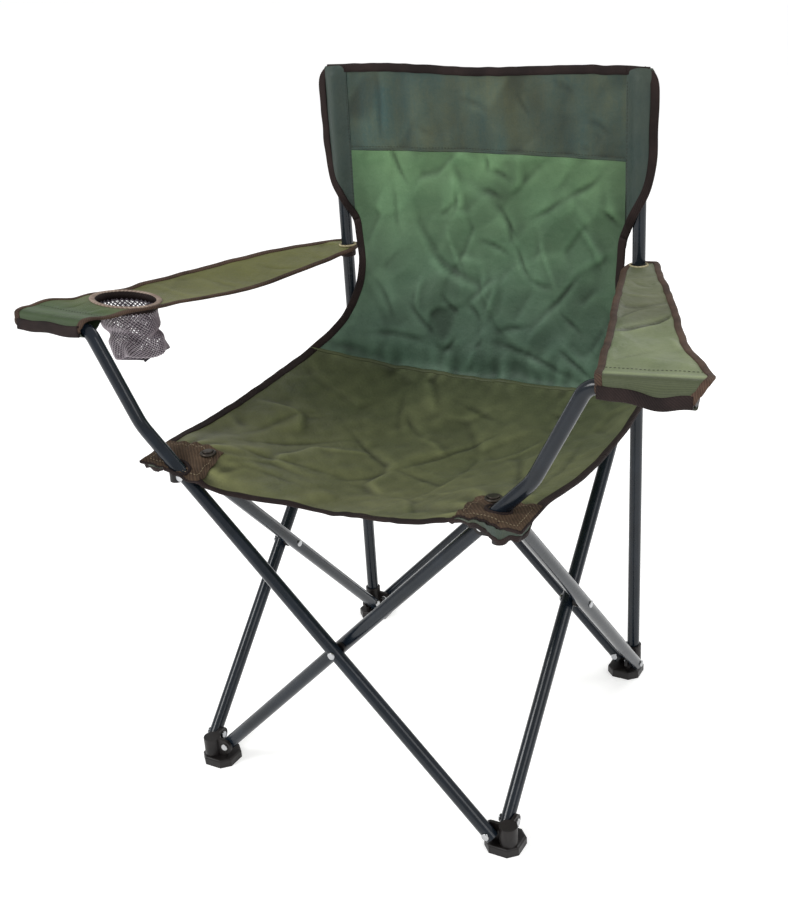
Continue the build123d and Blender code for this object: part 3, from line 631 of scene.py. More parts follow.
def folded(p, s, share):
    """How far each point is moved along its normal."""
    x, y, z = p[:, :, 0], p[:, :, 1], p[:, :, 2]
    seam, header = ALONG[SEAM], ALONG[HEADER]
    on_back = smooth((s - seam + 0.01) / 0.03)
    on_header = smooth((s - header + 0.004) / 0.008)
    hem = 1 - smooth((np.abs(share) - 0.88) / 0.12) * 0.85
    back = sum(crumple(x + shear * s, s * squeeze, seed, cell, tilt, soft)
               for shear, squeeze, seed, cell, tilt, soft, _ in BACK_FACETS)
    back += 0.001 * waves(x, s, 8, 0.05, 0.14)
    back = (1 - 0.7 * on_header) * back + (1 - 0.25 * on_header) * folds(x, z, CREASES)
    back += on_header * 0.0015 * waves(x, s * 0.22, 12, 0.03, 0.08)
    pucker = bell((s - seam - 0.012) / 0.05) * 0.0016 * waves(x, s * 0.35, 11, 0.018, 0.045)
    seat = folds(x, y, SEAT_FOLDS) + crumple(x, s, 21, 0.07, 0.035, 0.035)
    seat += 0.0014 * waves(x, s, 22, 0.09, 0.24) + 0.0004 * waves(x, s, 23, 0.02, 0.05)
    for lean in (1, -1):
        dx, dy = (x - lean * 0.2) * lean, y + CORNER
        far, turn = np.hypot(dx, dy), np.arctan2(dy, -dx)
        seat += 0.003 * np.cos(turn * 13 + lean) * np.exp(-far / 0.075) * smooth(far / 0.05)
    return hem * (on_back * back + (1 - on_back) * seat + pucker)


FRONT_HEM = np.array((
    (-0.238, 0.4165), (-0.208, 0.4125), (-0.174, 0.404), (-0.112, 0.395), (-0.06, 0.3865), (-0.03, 0.3825),
    (0.000, 0.384), (0.045, 0.3905), (0.093, 0.3995), (0.14, 0.409), (0.175, 0.4165), (0.208, 0.419),
    (0.238, 0.417),
))


def top_wave(x):
    """Rise and fall of the top hem."""
    return 0.0024 * np.cos((x + 0.15) * 20.6) - 0.0012


SCREW_STACK = 0.0048  # screw's head, patch and half the seat's cloth


def shaped(p, s, share):
    """The front corners raised to the screws, a lopsided front hem and soft waves at the top."""
    p = p.copy()
    hem_z = through(FRONT_HEM[:, 0], FRONT_HEM[:, 1], p[0, :, 0])
    p[:, :, 2] += bell(s / 0.075) * (hem_z - p[0, :, 2])[None, :]
    p[:, :, 1] += bell(s / 0.16) * (1 - share**2) * 0.006 * np.cos(share * 7 + 0.6)
    for side in ("right", "left"):
        low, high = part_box(f"seat_{side}_screw")
        far = np.hypot(p[:, :, 0] - (low.x + high.x) / 2, p[:, :, 1] - (low.y + high.y) / 2) + (s > 0.2)
        nearest = np.unravel_index(int(np.argmin(far)), far.shape)
        p[:, :, 2] += (high.z - SCREW_STACK - p[nearest][2]) * bell(far / 0.05)
    top = smooth((s - ALONG[HEADER]) / (ALONG[-1] - ALONG[HEADER]))
    p[:, :, 2] += top * top_wave(p[:, :, 0])
    return p


HALF = round(0.24 / CELL)
P, S, U, UV = cloth_grid(HALF)
P = shaped(P, S, U)
N = grid_normals(P)
X, Y, Z = P[:, :, 0], P[:, :, 1], P[:, :, 2]
RELIEF = folded(P, S, U)
BACK_SHARE = smooth((S - ALONG[SEAM]) / 0.004)
HEADER_SHARE = smooth((S - ALONG[HEADER]) / 0.004)
# Painted light and shade of the seat and back: darker in fold hollows and creases, lighter on ridges, each
# facet given its own painted brightness
PAINTED_LIGHT_AND_SHADE = painted_fold_shade(RELIEF, CELL, 0.018, 0.4)
back_light_and_shade = BACK_CREASE_PAINTED_SHADE * np.clip(folds(X, Z, CREASES), -0.05, 0.004)
for shear, squeeze, seed, cell, _, soft, strength in BACK_FACETS:
    back_light_and_shade = back_light_and_shade + strength * crumple(X + shear * S, S * squeeze, seed, cell, 0.0, soft, 1.0)
seat_light_and_shade = SEAT_CREASE_PAINTED_SHADE * np.clip(folds(X, Y, SEAT_FOLDS), -0.05, 0.006)
PAINTED_LIGHT_AND_SHADE += BACK_SHARE * back_light_and_shade
# Painted light and shade along the header's ripples, following the same waves as its relief
PAINTED_LIGHT_AND_SHADE += HEADER_SHARE * 0.1 * waves(X, S * 0.22, 12, 0.03, 0.08)
PAINTED_LIGHT_AND_SHADE += (1 - BACK_SHARE) * (seat_light_and_shade + 0.03 * crumple(X, S, 21, 0.07, 0.0, 0.035, 1.0))
P = P + N * RELIEF[:, :, None]
N = grid_normals(P)
AT = S[:, 0]


R_SPLIT, R_SEAM, R_WAIST, R_HEADER = (
    index_of(AT, s) for s in (SEAT_SPLIT, ALONG[SEAM], ALONG[WAIST], ALONG[HEADER]))
LAST = len(AT) - 1

# Panels: name, first and last row, material, slot, body, whether it is part of the seat
SPANS = (
    ("seat_front_panel", 0, R_SPLIT, M_SEAT, "seat_cloth", "right_outer_leg", 1),
    ("seat_rear_panel", R_SPLIT, R_SEAM, M_SEAT, "seat_cloth", "right_inner_leg", 1),
    ("back_panel", R_SEAM, R_HEADER, M_BACK, "back_cloth", "rear_right_frame", 0),
    ("header_band", R_HEADER, LAST, M_HEADER, "header_cloth", "rear_right_frame", 0),
)
BACK_KEEP = (CORNER - (-SLEEVE_IN + 2 * CORNER * (1 - FOLD_KEEP))) / (CORNER + SLEEVE_IN)


def fold_across(obj):
    """Gives the piece its own copy of its mesh."""
    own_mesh(obj)


def settle(obj, body, keep=None):
    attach(obj, body)
    if keep:
        fold_across(obj)
    return obj


def tube_axis(lean):
    """A point and the direction of an arm tube's straight leg part."""
    y = -CORNER + lean * TUBE_OFFSET
    direction = Vector((lean * 2 * PIVOT_X, 0, RISE)).normalized()
    return Vector((lean * PIVOT_X, y, HUB_Z)), direction


def from_line(points, start, direction):
    d = points - np.array(start)
    t = d @ np.array(direction)
    return np.linalg.norm(d - t[..., None] * np.array(direction), axis=-1)


def cell_centres(p):
    return (p[:-1, :-1] + p[:-1, 1:] + p[1:, 1:] + p[1:, :-1]) / 4


panels = {}
for name, lo, hi, material, slot, body, seat in SPANS:
    sub = slice(lo, hi + 1)
    keep = None
    if lo == 0:
        centres = cell_centres(P[sub])
        keep = np.ones(centres.shape[:2], bool)
        for lean in (1, -1):
            start, direction = tube_axis(lean)
            keep &= from_line(centres, start, direction) > TUBE_HOLE
    panels[name] = cloth_object(name, P[sub], N[sub], UV[sub], material, keep=keep, tone=PAINTED_LIGHT_AND_SHADE[sub])

# Side sleeves round the posts: height and outer edge
SLEEVE_OUTLINE = np.array((
    (0.59, 0.1885), (0.6, 0.1905), (0.612, 0.1945), (0.628, 0.202), (0.645, 0.2095), (0.662, 0.2155),
    (0.68, 0.2195), (0.7, 0.2215), (0.74, 0.2225), (0.778, 0.2232), (0.792, 0.2222), (0.8, 0.218),
))
SLEEVE_LOW = SLEEVE_OUTLINE[0, 0]
REAR_SLEEVE_LOW = 0.664
SLEEVE_TAPE_PROUD = (0.0034, -0.003)  # out past the sleeve's edge, and in front of it
POST_BUMP = 0.0105
SLEEVE_COLS = 19


def sleeve_grid(lean, z_from, side, seed):
    """One layer of a sleeve, in front of the post (side -1) or behind it (side 1)."""
    zs = np.linspace(z_from, CLOTH_TOP, round((CLOTH_TOP - z_from) / 0.004) + 1)
    share = np.linspace(0, 1, SLEEVE_COLS)
    outs = through(SLEEVE_OUTLINE[:, 0], SLEEVE_OUTLINE[:, 1], zs)
    x = SLEEVE_IN + (outs[:, None] - SLEEVE_IN) * share[None, :]
    z = np.repeat(zs[:, None], SLEEVE_COLS, axis=1)
    pinch = 0.12 + 0.88 * np.sqrt(np.clip((CLOTH_TOP - z) / 0.012, 0, 1))
    bulge = POST_BUMP * bell((x - CORNER) / 0.019) * pinch * smooth((z - SLEEVE_LOW) / 0.04)
    fade = share * (1.05 - share) * 4
    y = SLEEVE_Y + side * (0.0005 + bulge) + 0.0004 * waves(x, z * 0.5, seed, 0.02, 0.06) * fade
    z = z + top_wave(x * lean) * smooth((z - HEADER_BOTTOM) / (CLOTH_TOP - HEADER_BOTTOM))
    p = np.stack([x * lean, y, z], axis=2)
    if lean < 0:
        p = p[:, ::-1]
    return p, grid_normals(p), np.stack([p[:, :, 0], p[:, :, 2]], axis=2)


def softened(values, times):
    """A line of points with its small corners rounded; its ends stay."""
    values = values.copy()
    for _ in range(times):
        values[1:-1] = (values[:-2] + 2 * values[1:-1] + values[2:]) / 4
    return values


def hem_tape(name, line, normals, towards, material, cuts=(), seed=0, wavy=0.0004, width=TAPE_WIDTH,
             half=TAPE_HALF):
    """Binding tape along a hem, cut into pieces that meet end to end."""
    line = np.asarray(line, float)
    ahead = unit(np.gradient(line, axis=0))
    normals = unit(np.asarray(normals, float))
    inner = unit(np.cross(ahead, normals))
    inner *= np.sign(np.sum(inner * towards))
    inner, normals = unit(softened(inner, 4)), unit(softened(normals, 4))
    along = travelled(line)
    line = line + inner * (wavy * waves(along, along * 0, seed, 0.02, 0.08))[:, None]
    ends = (0, *cuts, len(line) - 1)
    names = (name,) if isinstance(name, str) else name
    return [swept(piece, line[a:b + 1], inner[a:b + 1], normals[a:b + 1], tape_section(width, half), material)
            for piece, a, b in zip(names, ends, ends[1:])]


sleeves = {}
tapes = {}
for lean, side in SIDES:
    seed = 60 if lean > 0 else 70
    p, n, uv = sleeve_grid(lean, SLEEVE_LOW, -1, seed)
    split = index_of(p[:, 0, 2], HEADER_BOTTOM)
    low = cloth_object(f"{side}_sleeve_low", p[:split + 1], n[:split + 1], uv[:split + 1], M_SLEEVE)
    high = cloth_object(f"{side}_sleeve_high", p[split:], n[split:], uv[split:], M_SLEEVE)
    pb, nb, uvb = sleeve_grid(lean, REAR_SLEEVE_LOW, 1, seed + 1)
    rear = cloth_object(f"{side}_sleeve_rear", pb, nb, uvb, M_HEADER)
    outer, col = (-1, -1) if lean > 0 else (0, 0)
    # One hem line: round the top corner, down the sleeve and along the panel's side to the front
    corner = np.array([(lean * x, SLEEVE_Y, z + top_wave(lean * x))
                       for x, z in ((0.2085, 0.8003), (0.213, 0.8002))])
    down = p[p[:, 0, 2] > 0.604][::-1, outer]
    line = np.concatenate([corner, down, P[:R_WAIST + 1, col][::-1]])
    top_count = len(corner) + len(down)
    normal = np.concatenate([repeated(FORWARD, top_count), N[:R_WAIST + 1, col][::-1]])
    proud = smooth((line[:, 2] - 0.615) / 0.05) * smooth((0.797 - line[:, 2]) / 0.012)
    line = line + proud[:, None] * (lean * SLEEVE_TAPE_PROUD[0], SLEEVE_TAPE_PROUD[1], 0)
    line[:top_count + 20] = softened(line[:top_count + 20], 6)
    cuts = [top_count, top_count + R_WAIST - R_SEAM, top_count + R_WAIST - R_SPLIT]
    tape, *others = hem_tape((f"{side}_sleeve_tape", f"{side}_back_hem_tape", f"{side}_rear_hem_tape",
                              f"{side}_front_hem_tape"), line, normal, np.array([-lean, 0, 0]), M_TAPE, cuts,
                             seed + 2)
    for made in others:
        tapes[made.name] = made
    mouth = mouth_tape(f"{side}_sleeve_mouth_tape", pb[0], pb[2] - pb[0], nb[0], M_HEADER, seed + 3,
                       width=0.006, half=0.0011, wavy=0.0002)
    seam_path = p[6:-3, SLEEVE_COLS - 1 if lean < 0 else 0] + np.array([lean * 0.0012, -0.0012, 0])
    seam = stitches(f"{side}_sleeve_stitches", seam_path, repeated(FORWARD, len(seam_path)), M_DARK_THREAD)
    sleeves[side] = [low, high, rear, tape, mouth, seam]
    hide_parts(f"back_{side}_sleeve")

# Top hem: one line over both sleeves and the panel, cut where they meet
top_x = np.linspace(-0.215, 0.215, 131)
top_y = np.interp(top_x, P[-1, :, 0], P[-1, :, 1])
top_y = softened(np.where(np.abs(top_x) > SLEEVE_IN, SLEEVE_Y, top_y), 3)
top_line = np.stack([top_x, top_y, CLOTH_TOP + top_wave(top_x)], axis=1)
first, last = (index_of(top_x, x) for x in (-SLEEVE_IN, SLEEVE_IN))
top_left, tapes["top_hem_tape"], top_right = hem_tape(
    ("left_sleeve_top_tape", "top_hem_tape", "right_sleeve_top_tape"), top_line,
    repeated(FORWARD, len(top_x)), np.array([0, 0, -1.0]), M_TAPE, (first, last), 33, half=0.0024)
tapes["front_hem_tape"], = hem_tape("front_hem_tape", P[0], N[0], np.array([0, 1.0, 0.6]), M_TAPE, (), 31,
                                    width=0.0068, wavy=0.0006)
SLEEVE_SLOTS = ("back_cloth", "header_cloth", "header_cloth", "tape", "header_cloth", "tape", "header_cloth")
for side, top in (("right", top_right), ("left", top_left)):
    sleeves[side].insert(5, top)
    for piece, slot in zip(sleeves[side], SLEEVE_SLOTS):
        settle(piece, f"rear_{side}_frame")

# Seams: header to back, seat to back
seam_section = np.array([(math.cos(a) * 0.0032, math.sin(a) * 0.0011) for a in ring_angles(8)])
header_seam = swept("header_seam", P[R_HEADER] + N[R_HEADER] * 0.0006, P[R_HEADER + 1] - P[R_HEADER - 1],
                    N[R_HEADER], seam_section * np.array([70.0, 0.8]), M_HEADER)
seat_seam = swept("seat_seam", P[R_SEAM] + N[R_SEAM] * 0.0008, unit(P[R_SEAM + 1] - P[R_SEAM - 1]),
                  N[R_SEAM], seam_section * 0.9, M_SEAT)
header_stitches = stitches("header_stitches", P[R_HEADER + 1] + N[R_HEADER + 1] * 0.0008, N[R_HEADER + 1],
                           M_DARK_THREAD)

for name, lo, hi, material, slot, body, seat in SPANS:
    settle(panels[name], body, FOLD_KEEP if seat else BACK_KEEP)
for name, tape in tapes.items():
    if "front_hem_tape" in name:
        settle(tape, "right_outer_leg", FOLD_KEEP)
    elif "_rear_" in name:
        settle(tape, "right_inner_leg", FOLD_KEEP)
    else:
        settle(tape, "rear_right_frame", BACK_KEEP)
settle(header_seam, "rear_right_frame", BACK_KEEP)
settle(header_stitches, "rear_right_frame", BACK_KEEP)
settle(seat_seam, "right_inner_leg", FOLD_KEEP)
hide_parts("seat_cloth")
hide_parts("back_cloth")
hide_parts("back_header")

# Corner patches, tube collars and eyelets
PATCH = 0.078
PATCH_DEPTH = 0.052
PATCH_PROUD = 0.0016  # of the seat's middle, above it and under it
RING_POINTS = 40
EYELET_PROFILE = ((0.0062, -0.0016), (0.0062, -0.0004), (0.0072, 0.0003), (0.0088, 0.0002), (0.0097, -0.0008),
                  (0.0097, -0.003))
SCREWS = {1: (0.184, -0.172), -1: (-0.172, -0.184)}


def surface_at(x, y):
    """Point and normal of the seat nearest to a place seen from above."""
    d = (P[:R_SPLIT, :, 0] - x) ** 2 + (P[:R_SPLIT, :, 1] - y) ** 2
    i, j = np.unravel_index(int(np.argmin(d)), d.shape)
    return P[i, j], N[i, j]


def ring_sweep(name, centre, e1, e2, radius, thick, material, normal, axis=None):
    """A closed round cord about a centre; with an axis, it is slid along that onto the plane of the cloth."""
    points = np.array([np.array(centre) + radius * (math.cos(a) * e1 + math.sin(a) * e2)
                       for a in ring_angles(RING_POINTS)])
    if axis is not None:
        for k, q in enumerate(points):
            t = ((np.array(centre) - q) @ normal) / (np.array(axis) @ normal)
            points[k] = q + np.array(axis) * t
    out = unit(points - points.mean(0))
    section = np.array([(math.cos(a) * thick, math.sin(a) * thick) for a in ring_angles(10)])
    return swept(name, points, out, repeated(normal, RING_POINTS), section, material, closed=True)


for lean, side in SIDES:
    start, direction = tube_axis(lean)
    rows = np.nonzero(AT[:R_SPLIT] < PATCH_DEPTH)[0]
    cols = np.nonzero(np.abs(P[4, :, 0] - lean * (0.2385 - PATCH / 2)) < PATCH / 2 + 1e-3)[0]
    sub_p, sub_n, sub_uv = (a[rows[0]:rows[-1] + 1, cols[0]:cols[-1] + 1] for a in (P, N, UV))
    top = sub_p + sub_n * PATCH_PROUD
    keep = from_line(cell_centres(top), start, direction) > TUBE_HOLE
    patch = cloth_object(f"{side}_corner_patch", top, sub_n, sub_uv, M_PATCH, 0.0014, keep)
    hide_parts(f"seat_{side}_patch")
    under = cloth_object(f"{side}_corner_patch_under", sub_p - sub_n * PATCH_PROUD, sub_n, sub_uv, M_PATCH,
                         0.0014, keep)
    border, border_n = (np.concatenate([a[2, 2:-2], a[2:-2, -3], a[-3, 2:-2][::-1], a[2:-2, 2][::-1]])
                        for a in (top, sub_n))
    away = from_line(border, start, direction) > TUBE_R + 0.003
    sewn = stitches(f"{side}_patch_stitches", (border + border_n * 0.0009)[away], border_n[away], M_THREAD)
    near = sub_p.reshape(-1, 3)[np.argmin(from_line(sub_p.reshape(-1, 3), start, direction))]
    along = (Vector(near) - start).dot(direction)
    crossing = np.array(start + direction * along)
    _, normal = surface_at(crossing[0], crossing[1] + 0.012)
    e1 = unit(np.cross(np.array(direction), np.array([0, 1.0, 0])))
    collar = ring_sweep(f"{side}_tube_collar", crossing + normal * 0.0012, e1, np.array([0, 1.0, 0]),
                        TUBE_R + 0.0022, 0.0022, M_TAPE, normal, axis=np.array(direction))
    sx, sy = SCREWS[lean]
    spot, screw_n = surface_at(sx, sy)
    eyelet_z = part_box(f"seat_{side}_screw")[1].z - 0.0018
    eyelet = lathe(f"{side}_eyelet", EYELET_PROFILE, (sx, sy, eyelet_z), M_EYELET, 40)
    for piece in (patch, under, sewn, collar):
        settle(piece, "right_outer_leg", FOLD_KEEP)
    settle(eyelet, f"{side}_hub")

# Loose hem folded down round the front corners: its line seen from above
FLAPS = {1: ((0.16, -0.2245), (0.182, -0.2262), (0.205, -0.2275), (0.224, -0.2265), (0.2355, -0.217),
             (0.2385, -0.2), (0.2385, -0.178)),
         -1: ((-0.2375, -0.195), (-0.2385, -0.212), (-0.2345, -0.224), (-0.218, -0.2272),
              (-0.2, -0.2262))}
for lean, side in SIDES:
    turns = np.array(FLAPS[lean])
    steps = np.linspace(0, len(turns) - 1, 49)
    plan = through(np.arange(len(turns)), turns, steps)
    share = steps / steps[-1]
    drop = (0.015 if lean > 0 else 0.007) * np.sin(math.pi * np.clip(share, 0.02, 0.98)) ** 0.7
    drop = drop * (1 + 0.22 * np.cos(share * 17)) + 0.001
    top_z = np.array([surface_at(x, y)[0][2] for x, y in plan]) + 0.0004
    down = np.linspace(0, 1, 9)
    ripple = 0.0016 * np.cos(steps * 5.2) * lean
    out = lean * unit(np.stack([np.gradient(plan[:, 1]), -np.gradient(plan[:, 0])], axis=1))
    out *= np.sign(np.sum(out * (plan - plan.mean(0))))
    xy = plan[None] + out[None] * (ripple[None, :, None] * down[:, None, None] - 0.004 * down[:, None, None])
    z = top_z[None] - drop[None] * down[:, None]
    grid = np.concatenate([xy, z[:, :, None]], axis=2)
    normals = grid_normals(grid)
    uv = np.stack([np.repeat(steps[None] * 0.012, 9, axis=0), z], axis=2)
    # Painted shade: the downturned flap is drawn in the darker header cloth and given an even painted shade
    flap = cloth_object(f"{side}_corner_flap", grid, normals, uv, M_HEADER, 0.0011,
                        tone=np.full(z.shape, -0.15))
    edge, = hem_tape(f"{side}_corner_flap_tape", grid[-1], normals[-1], UP, M_TAPE, (), 37, width=0.0058,
                     half=0.0012)
    settle(flap, "right_outer_leg", FOLD_KEEP)
    settle(edge, "right_outer_leg", FOLD_KEEP)

# Webbing tabs from the sliders to the back
for lean, side in SIDES:
    zs = np.linspace(0.412, 0.474, 16)
    y = 0.2042 + 0.0012 * np.sin((zs - 0.412) * 45)
    centre = np.stack([np.full(16, lean * 0.183), y, zs], axis=1)
    section = np.array([(-0.0066, -0.0008), (-0.007, 0), (-0.0066, 0.0008), (0, 0.001), (0.0066, 0.0008),
                        (0.007, 0), (0.0066, -0.0008), (0, -0.001)])
    tab = swept(f"{side}_rear_tab", centre, repeated((lean, 0, 0), 16), repeated((0, 1, 0), 16), section,
                M_TAPE)
    settle(tab, f"{side}_slider")
    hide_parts(f"seat_{side}_rear_tab")


# ---------------------------------------------------------------- arms

ARM_Z = 0.568
ARM_TOP = ARM_Z + TUBE_R + 0.0022  # middle of the cloth over the tube
ARM_REAR = 0.2215
ARM_COLS = 41
POST_HOLE = 0.0098
STRAP_R = 0.0094
STRAP_Z = 0.5565
# Each arm's cloth from the front to the rear: y, inner and outer edge x, inner and outer z
ARM_PLANS = {
    1: np.array((
        (-0.206, 0.308, 0.412, 0.5805, 0.586), (-0.188, 0.303, 0.413, 0.58, 0.588),
        (-0.15, 0.292, 0.393, 0.578, 0.5845), (-0.111, 0.281, 0.369, 0.578, 0.581),
        (-0.06, 0.2665, 0.345, 0.575, 0.578), (0.009, 0.245, 0.316, 0.5755, 0.5775),
        (0.06, 0.2295, 0.294, 0.5745, 0.5765), (0.117, 0.2125, 0.269, 0.572, 0.574),
        (0.17, 0.1965, 0.245, 0.5695, 0.5715), (0.195, 0.192, 0.234, 0.569, 0.5705),
        (0.21, 0.193, 0.229, 0.569, 0.57), (0.2215, 0.198, 0.223, 0.569, 0.57),
    )),
    -1: np.array((
        (-0.227, 0.295, 0.396, 0.5775, 0.58), (-0.205, 0.291, 0.399, 0.5775, 0.581),
        (-0.176, 0.285, 0.393, 0.5725, 0.581), (-0.148, 0.2775, 0.373, 0.5715, 0.576),
        (-0.098, 0.264, 0.353, 0.5665, 0.5755), (-0.04, 0.249, 0.333, 0.5595, 0.5735),
        (0.026, 0.232, 0.312, 0.5545, 0.573), (0.092, 0.215, 0.285, 0.557, 0.574),
        (0.15, 0.2, 0.259, 0.56, 0.5725), (0.195, 0.1905, 0.239, 0.563, 0.569),
        (0.21, 0.1915, 0.234, 0.564, 0.568), (0.2215, 0.1965, 0.227, 0.564, 0.567),
    )),
}
HEM_LOW = 0.5645
FACE_SLANT = {1: 0.013, -1: 0.008}
ARM_PAINTED_LIGHT_AND_SHADE = {1: (0.3, 0.55), -1: (0.12, 0.2)}  # how much the front ridge is lightened by painted highlight, and the face darkened by painted shade
# Creases of each arm's cloth, in its own half: start, end, half width, height
ARM_CREASES = {
    1: (
        ((0.252, -0.074), (0.332, 0.026), 0.005, -0.0066), ((0.222, 0.082), (0.276, 0.074), 0.007, 0.003),
        ((0.325, -0.06), (0.398, -0.16), 0.007, 0.0034), ((0.3, -0.16), (0.335, -0.1), 0.008, -0.0018),
        ((0.23, 0.03), (0.3, 0.05), 0.006, -0.0026), ((0.215, 0.14), (0.255, 0.11), 0.006, -0.002),
    ),
    -1: (
        ((0.33, -0.205), (0.3, -0.165), 0.006, 0.0036), ((0.365, -0.2), (0.33, -0.15), 0.007, -0.003),
        ((0.235, 0.02), (0.31, 0.000), 0.009, -0.0022), ((0.21, 0.11), (0.27, 0.075), 0.008, -0.0022),
        ((0.26, -0.05), (0.34, -0.06), 0.008, 0.002), ((0.395, -0.19), (0.38, -0.15), 0.006, 0.003),
    ),
}
CUP = (-0.317, -0.123)
CUP_RIM_Z = 0.5735
CUP_HOLE = 0.0385
CUP_REACH = 0.064  # how far from its middle the cup holds the cloth level


def rim_height(x, y):
    """Height of the cup's rim, which tilts with the arm's cloth."""
    return CUP_RIM_Z + (CUP[0] - x) * 0.1 - (y - CUP[1]) * 0.1


def arm_path(y_tube, low, top, cells):
    """The sleeve and panel's line from its seam under the tube, round the front and back past the post."""
    turns = np.array((
        (y_tube + 0.019, top - 0.006), (y_tube + 0.0112, ARM_Z - 0.0035), (y_tube + 0.002, ARM_Z - 0.0104),
        (y_tube - 0.0078, ARM_Z - 0.008), (y_tube - 0.0118, low), (y_tube - 0.0136, low + 0.0025),
        (y_tube - 0.0138, low + 0.007), (y_tube - 0.0118, top - 0.006), (y_tube - 0.0072, top - 0.0004),
        (y_tube + 0.003, top), (y_tube + 0.02, top - 0.002),
    ))
    rear = np.array([(y, top) for y in np.linspace(y_tube + 0.05, ARM_REAR, 8)])
    corners = np.concatenate([turns, rear])
    far = travelled(corners)
    at = np.concatenate([np.arange(0, far[10], 0.0022), np.linspace(far[10], far[-1], cells)])
    return through(far, corners, at), at, far


def arm_grid(lean):
    """Points of an arm's cloth from the sleeve to the post, with normals, flat place and painted light and
    shade.
    """
    y_tube = -CORNER + lean * TUBE_OFFSET
    path, at, far = arm_path(y_tube, HEM_LOW, ARM_TOP, 110)
    share = np.linspace(0, 1, ARM_COLS)
    rows = ARM_PLANS[lean]
    plan = through(rows[:, 0], rows[:, 1:], np.clip(path[:, 0], rows[0, 0], ARM_REAR))
    tuck = np.clip((far[8] - at) / (far[8] - far[4]), 0, 1)
    x_in, x_out = plan[:, 0] + 0.003 * tuck, plan[:, 1] - FACE_SLANT[lean] * tuck
    x = x_in[:, None] + (x_out - x_in)[:, None] * share[None, :]
    y = np.repeat(path[:, :1], ARM_COLS, axis=1)
    level = plan[:, 2:3] + (plan[:, 3:4] - plan[:, 2:3]) * share[None, :]
    upper = smooth((path[:, 1] - HEM_LOW) / (ARM_TOP - HEM_LOW))[:, None] * (at > far[3])[:, None]
    z = path[:, 1][:, None] + (level - ARM_TOP) * upper
    u = share[None, :] * 2 - 1
    on_panel = smooth((at - far[9]) / 0.05)[:, None]
    t = np.clip((y - y_tube) / (ARM_REAR - y_tube), 0, 1)
    z = z - on_panel * 0.004 * np.sin(math.pi * t) * (1 - u**2)
    creases = folds(x, y, ARM_CREASES[lean])
    relief = on_panel * (creases + crumple(x, y, 80 + lean, 0.045, 0.03, 0.04)
                         + 0.0005 * waves(x, y, 90 + lean, 0.03, 0.09))
    relief = relief * (1 - smooth((np.abs(u) - 0.66) / 0.22)) * smooth((0.985 - t) / 0.05)
    front = smooth((far[8] - at) / 0.01)[:, None] * (at > far[3])[:, None]
    sag = 0.004 * bell((share - 0.62) / 0.42)[None, :] if lean > 0 else 0.0
    z = z + relief - front * (sag + 0.0005 * (1 + np.cos(x * 120)))
    if lean < 0:
        mouth = smooth((CUP_REACH - np.hypot(x + CUP[0], y - CUP[1])) / 0.022) * on_panel
        z = z * (1 - mouth) + (rim_height(-x, y) - 0.0012) * mouth
    p = np.stack([x, y, z], axis=2)
    ridge, face = ARM_PAINTED_LIGHT_AND_SHADE[lean]
    # Painted shade in the arm's fold hollows and creases, painted highlight on its ridges
    tone = painted_fold_shade(relief, CELL, 0.01, 0.35) + ARM_CREASE_PAINTED_SHADE * np.clip(on_panel * creases, -0.05, 0.003)
    # Painted highlight along the front ridge and painted shade on the front face below it
    tone = tone + ridge * bell((at - far[9] - 0.001) / 0.005)[:, None]
    tone = tone - face * smooth((far[9] - 0.003 - at) / 0.004)[:, None]
    # Painted shade on the cloth wrapped under the tube
    tone = tone - 0.6 * smooth((far[6] - at) / 0.004)[:, None]
    if lean > 0:  # painted shade, darker beyond the crease that crosses the panel
        beyond = (y - 0.014) - (x - 0.318) * (0.076 / 0.05)
        tone = tone - 0.3 * on_panel * smooth(beyond / 0.002) * (1 - 0.8 * smooth((y - 0.03) / 0.08))
    else:
        tone = tone + 0.1 * on_panel * (0.5 - share)[None, :]
    if lean < 0:
        p, tone = p[:, ::-1] * np.array([-1.0, 1, 1]), tone[:, ::-1]
    uv = np.stack([x, np.repeat(at[:, None], ARM_COLS, axis=1)], axis=2)
    return p, grid_normals(p), uv, at, far, tone


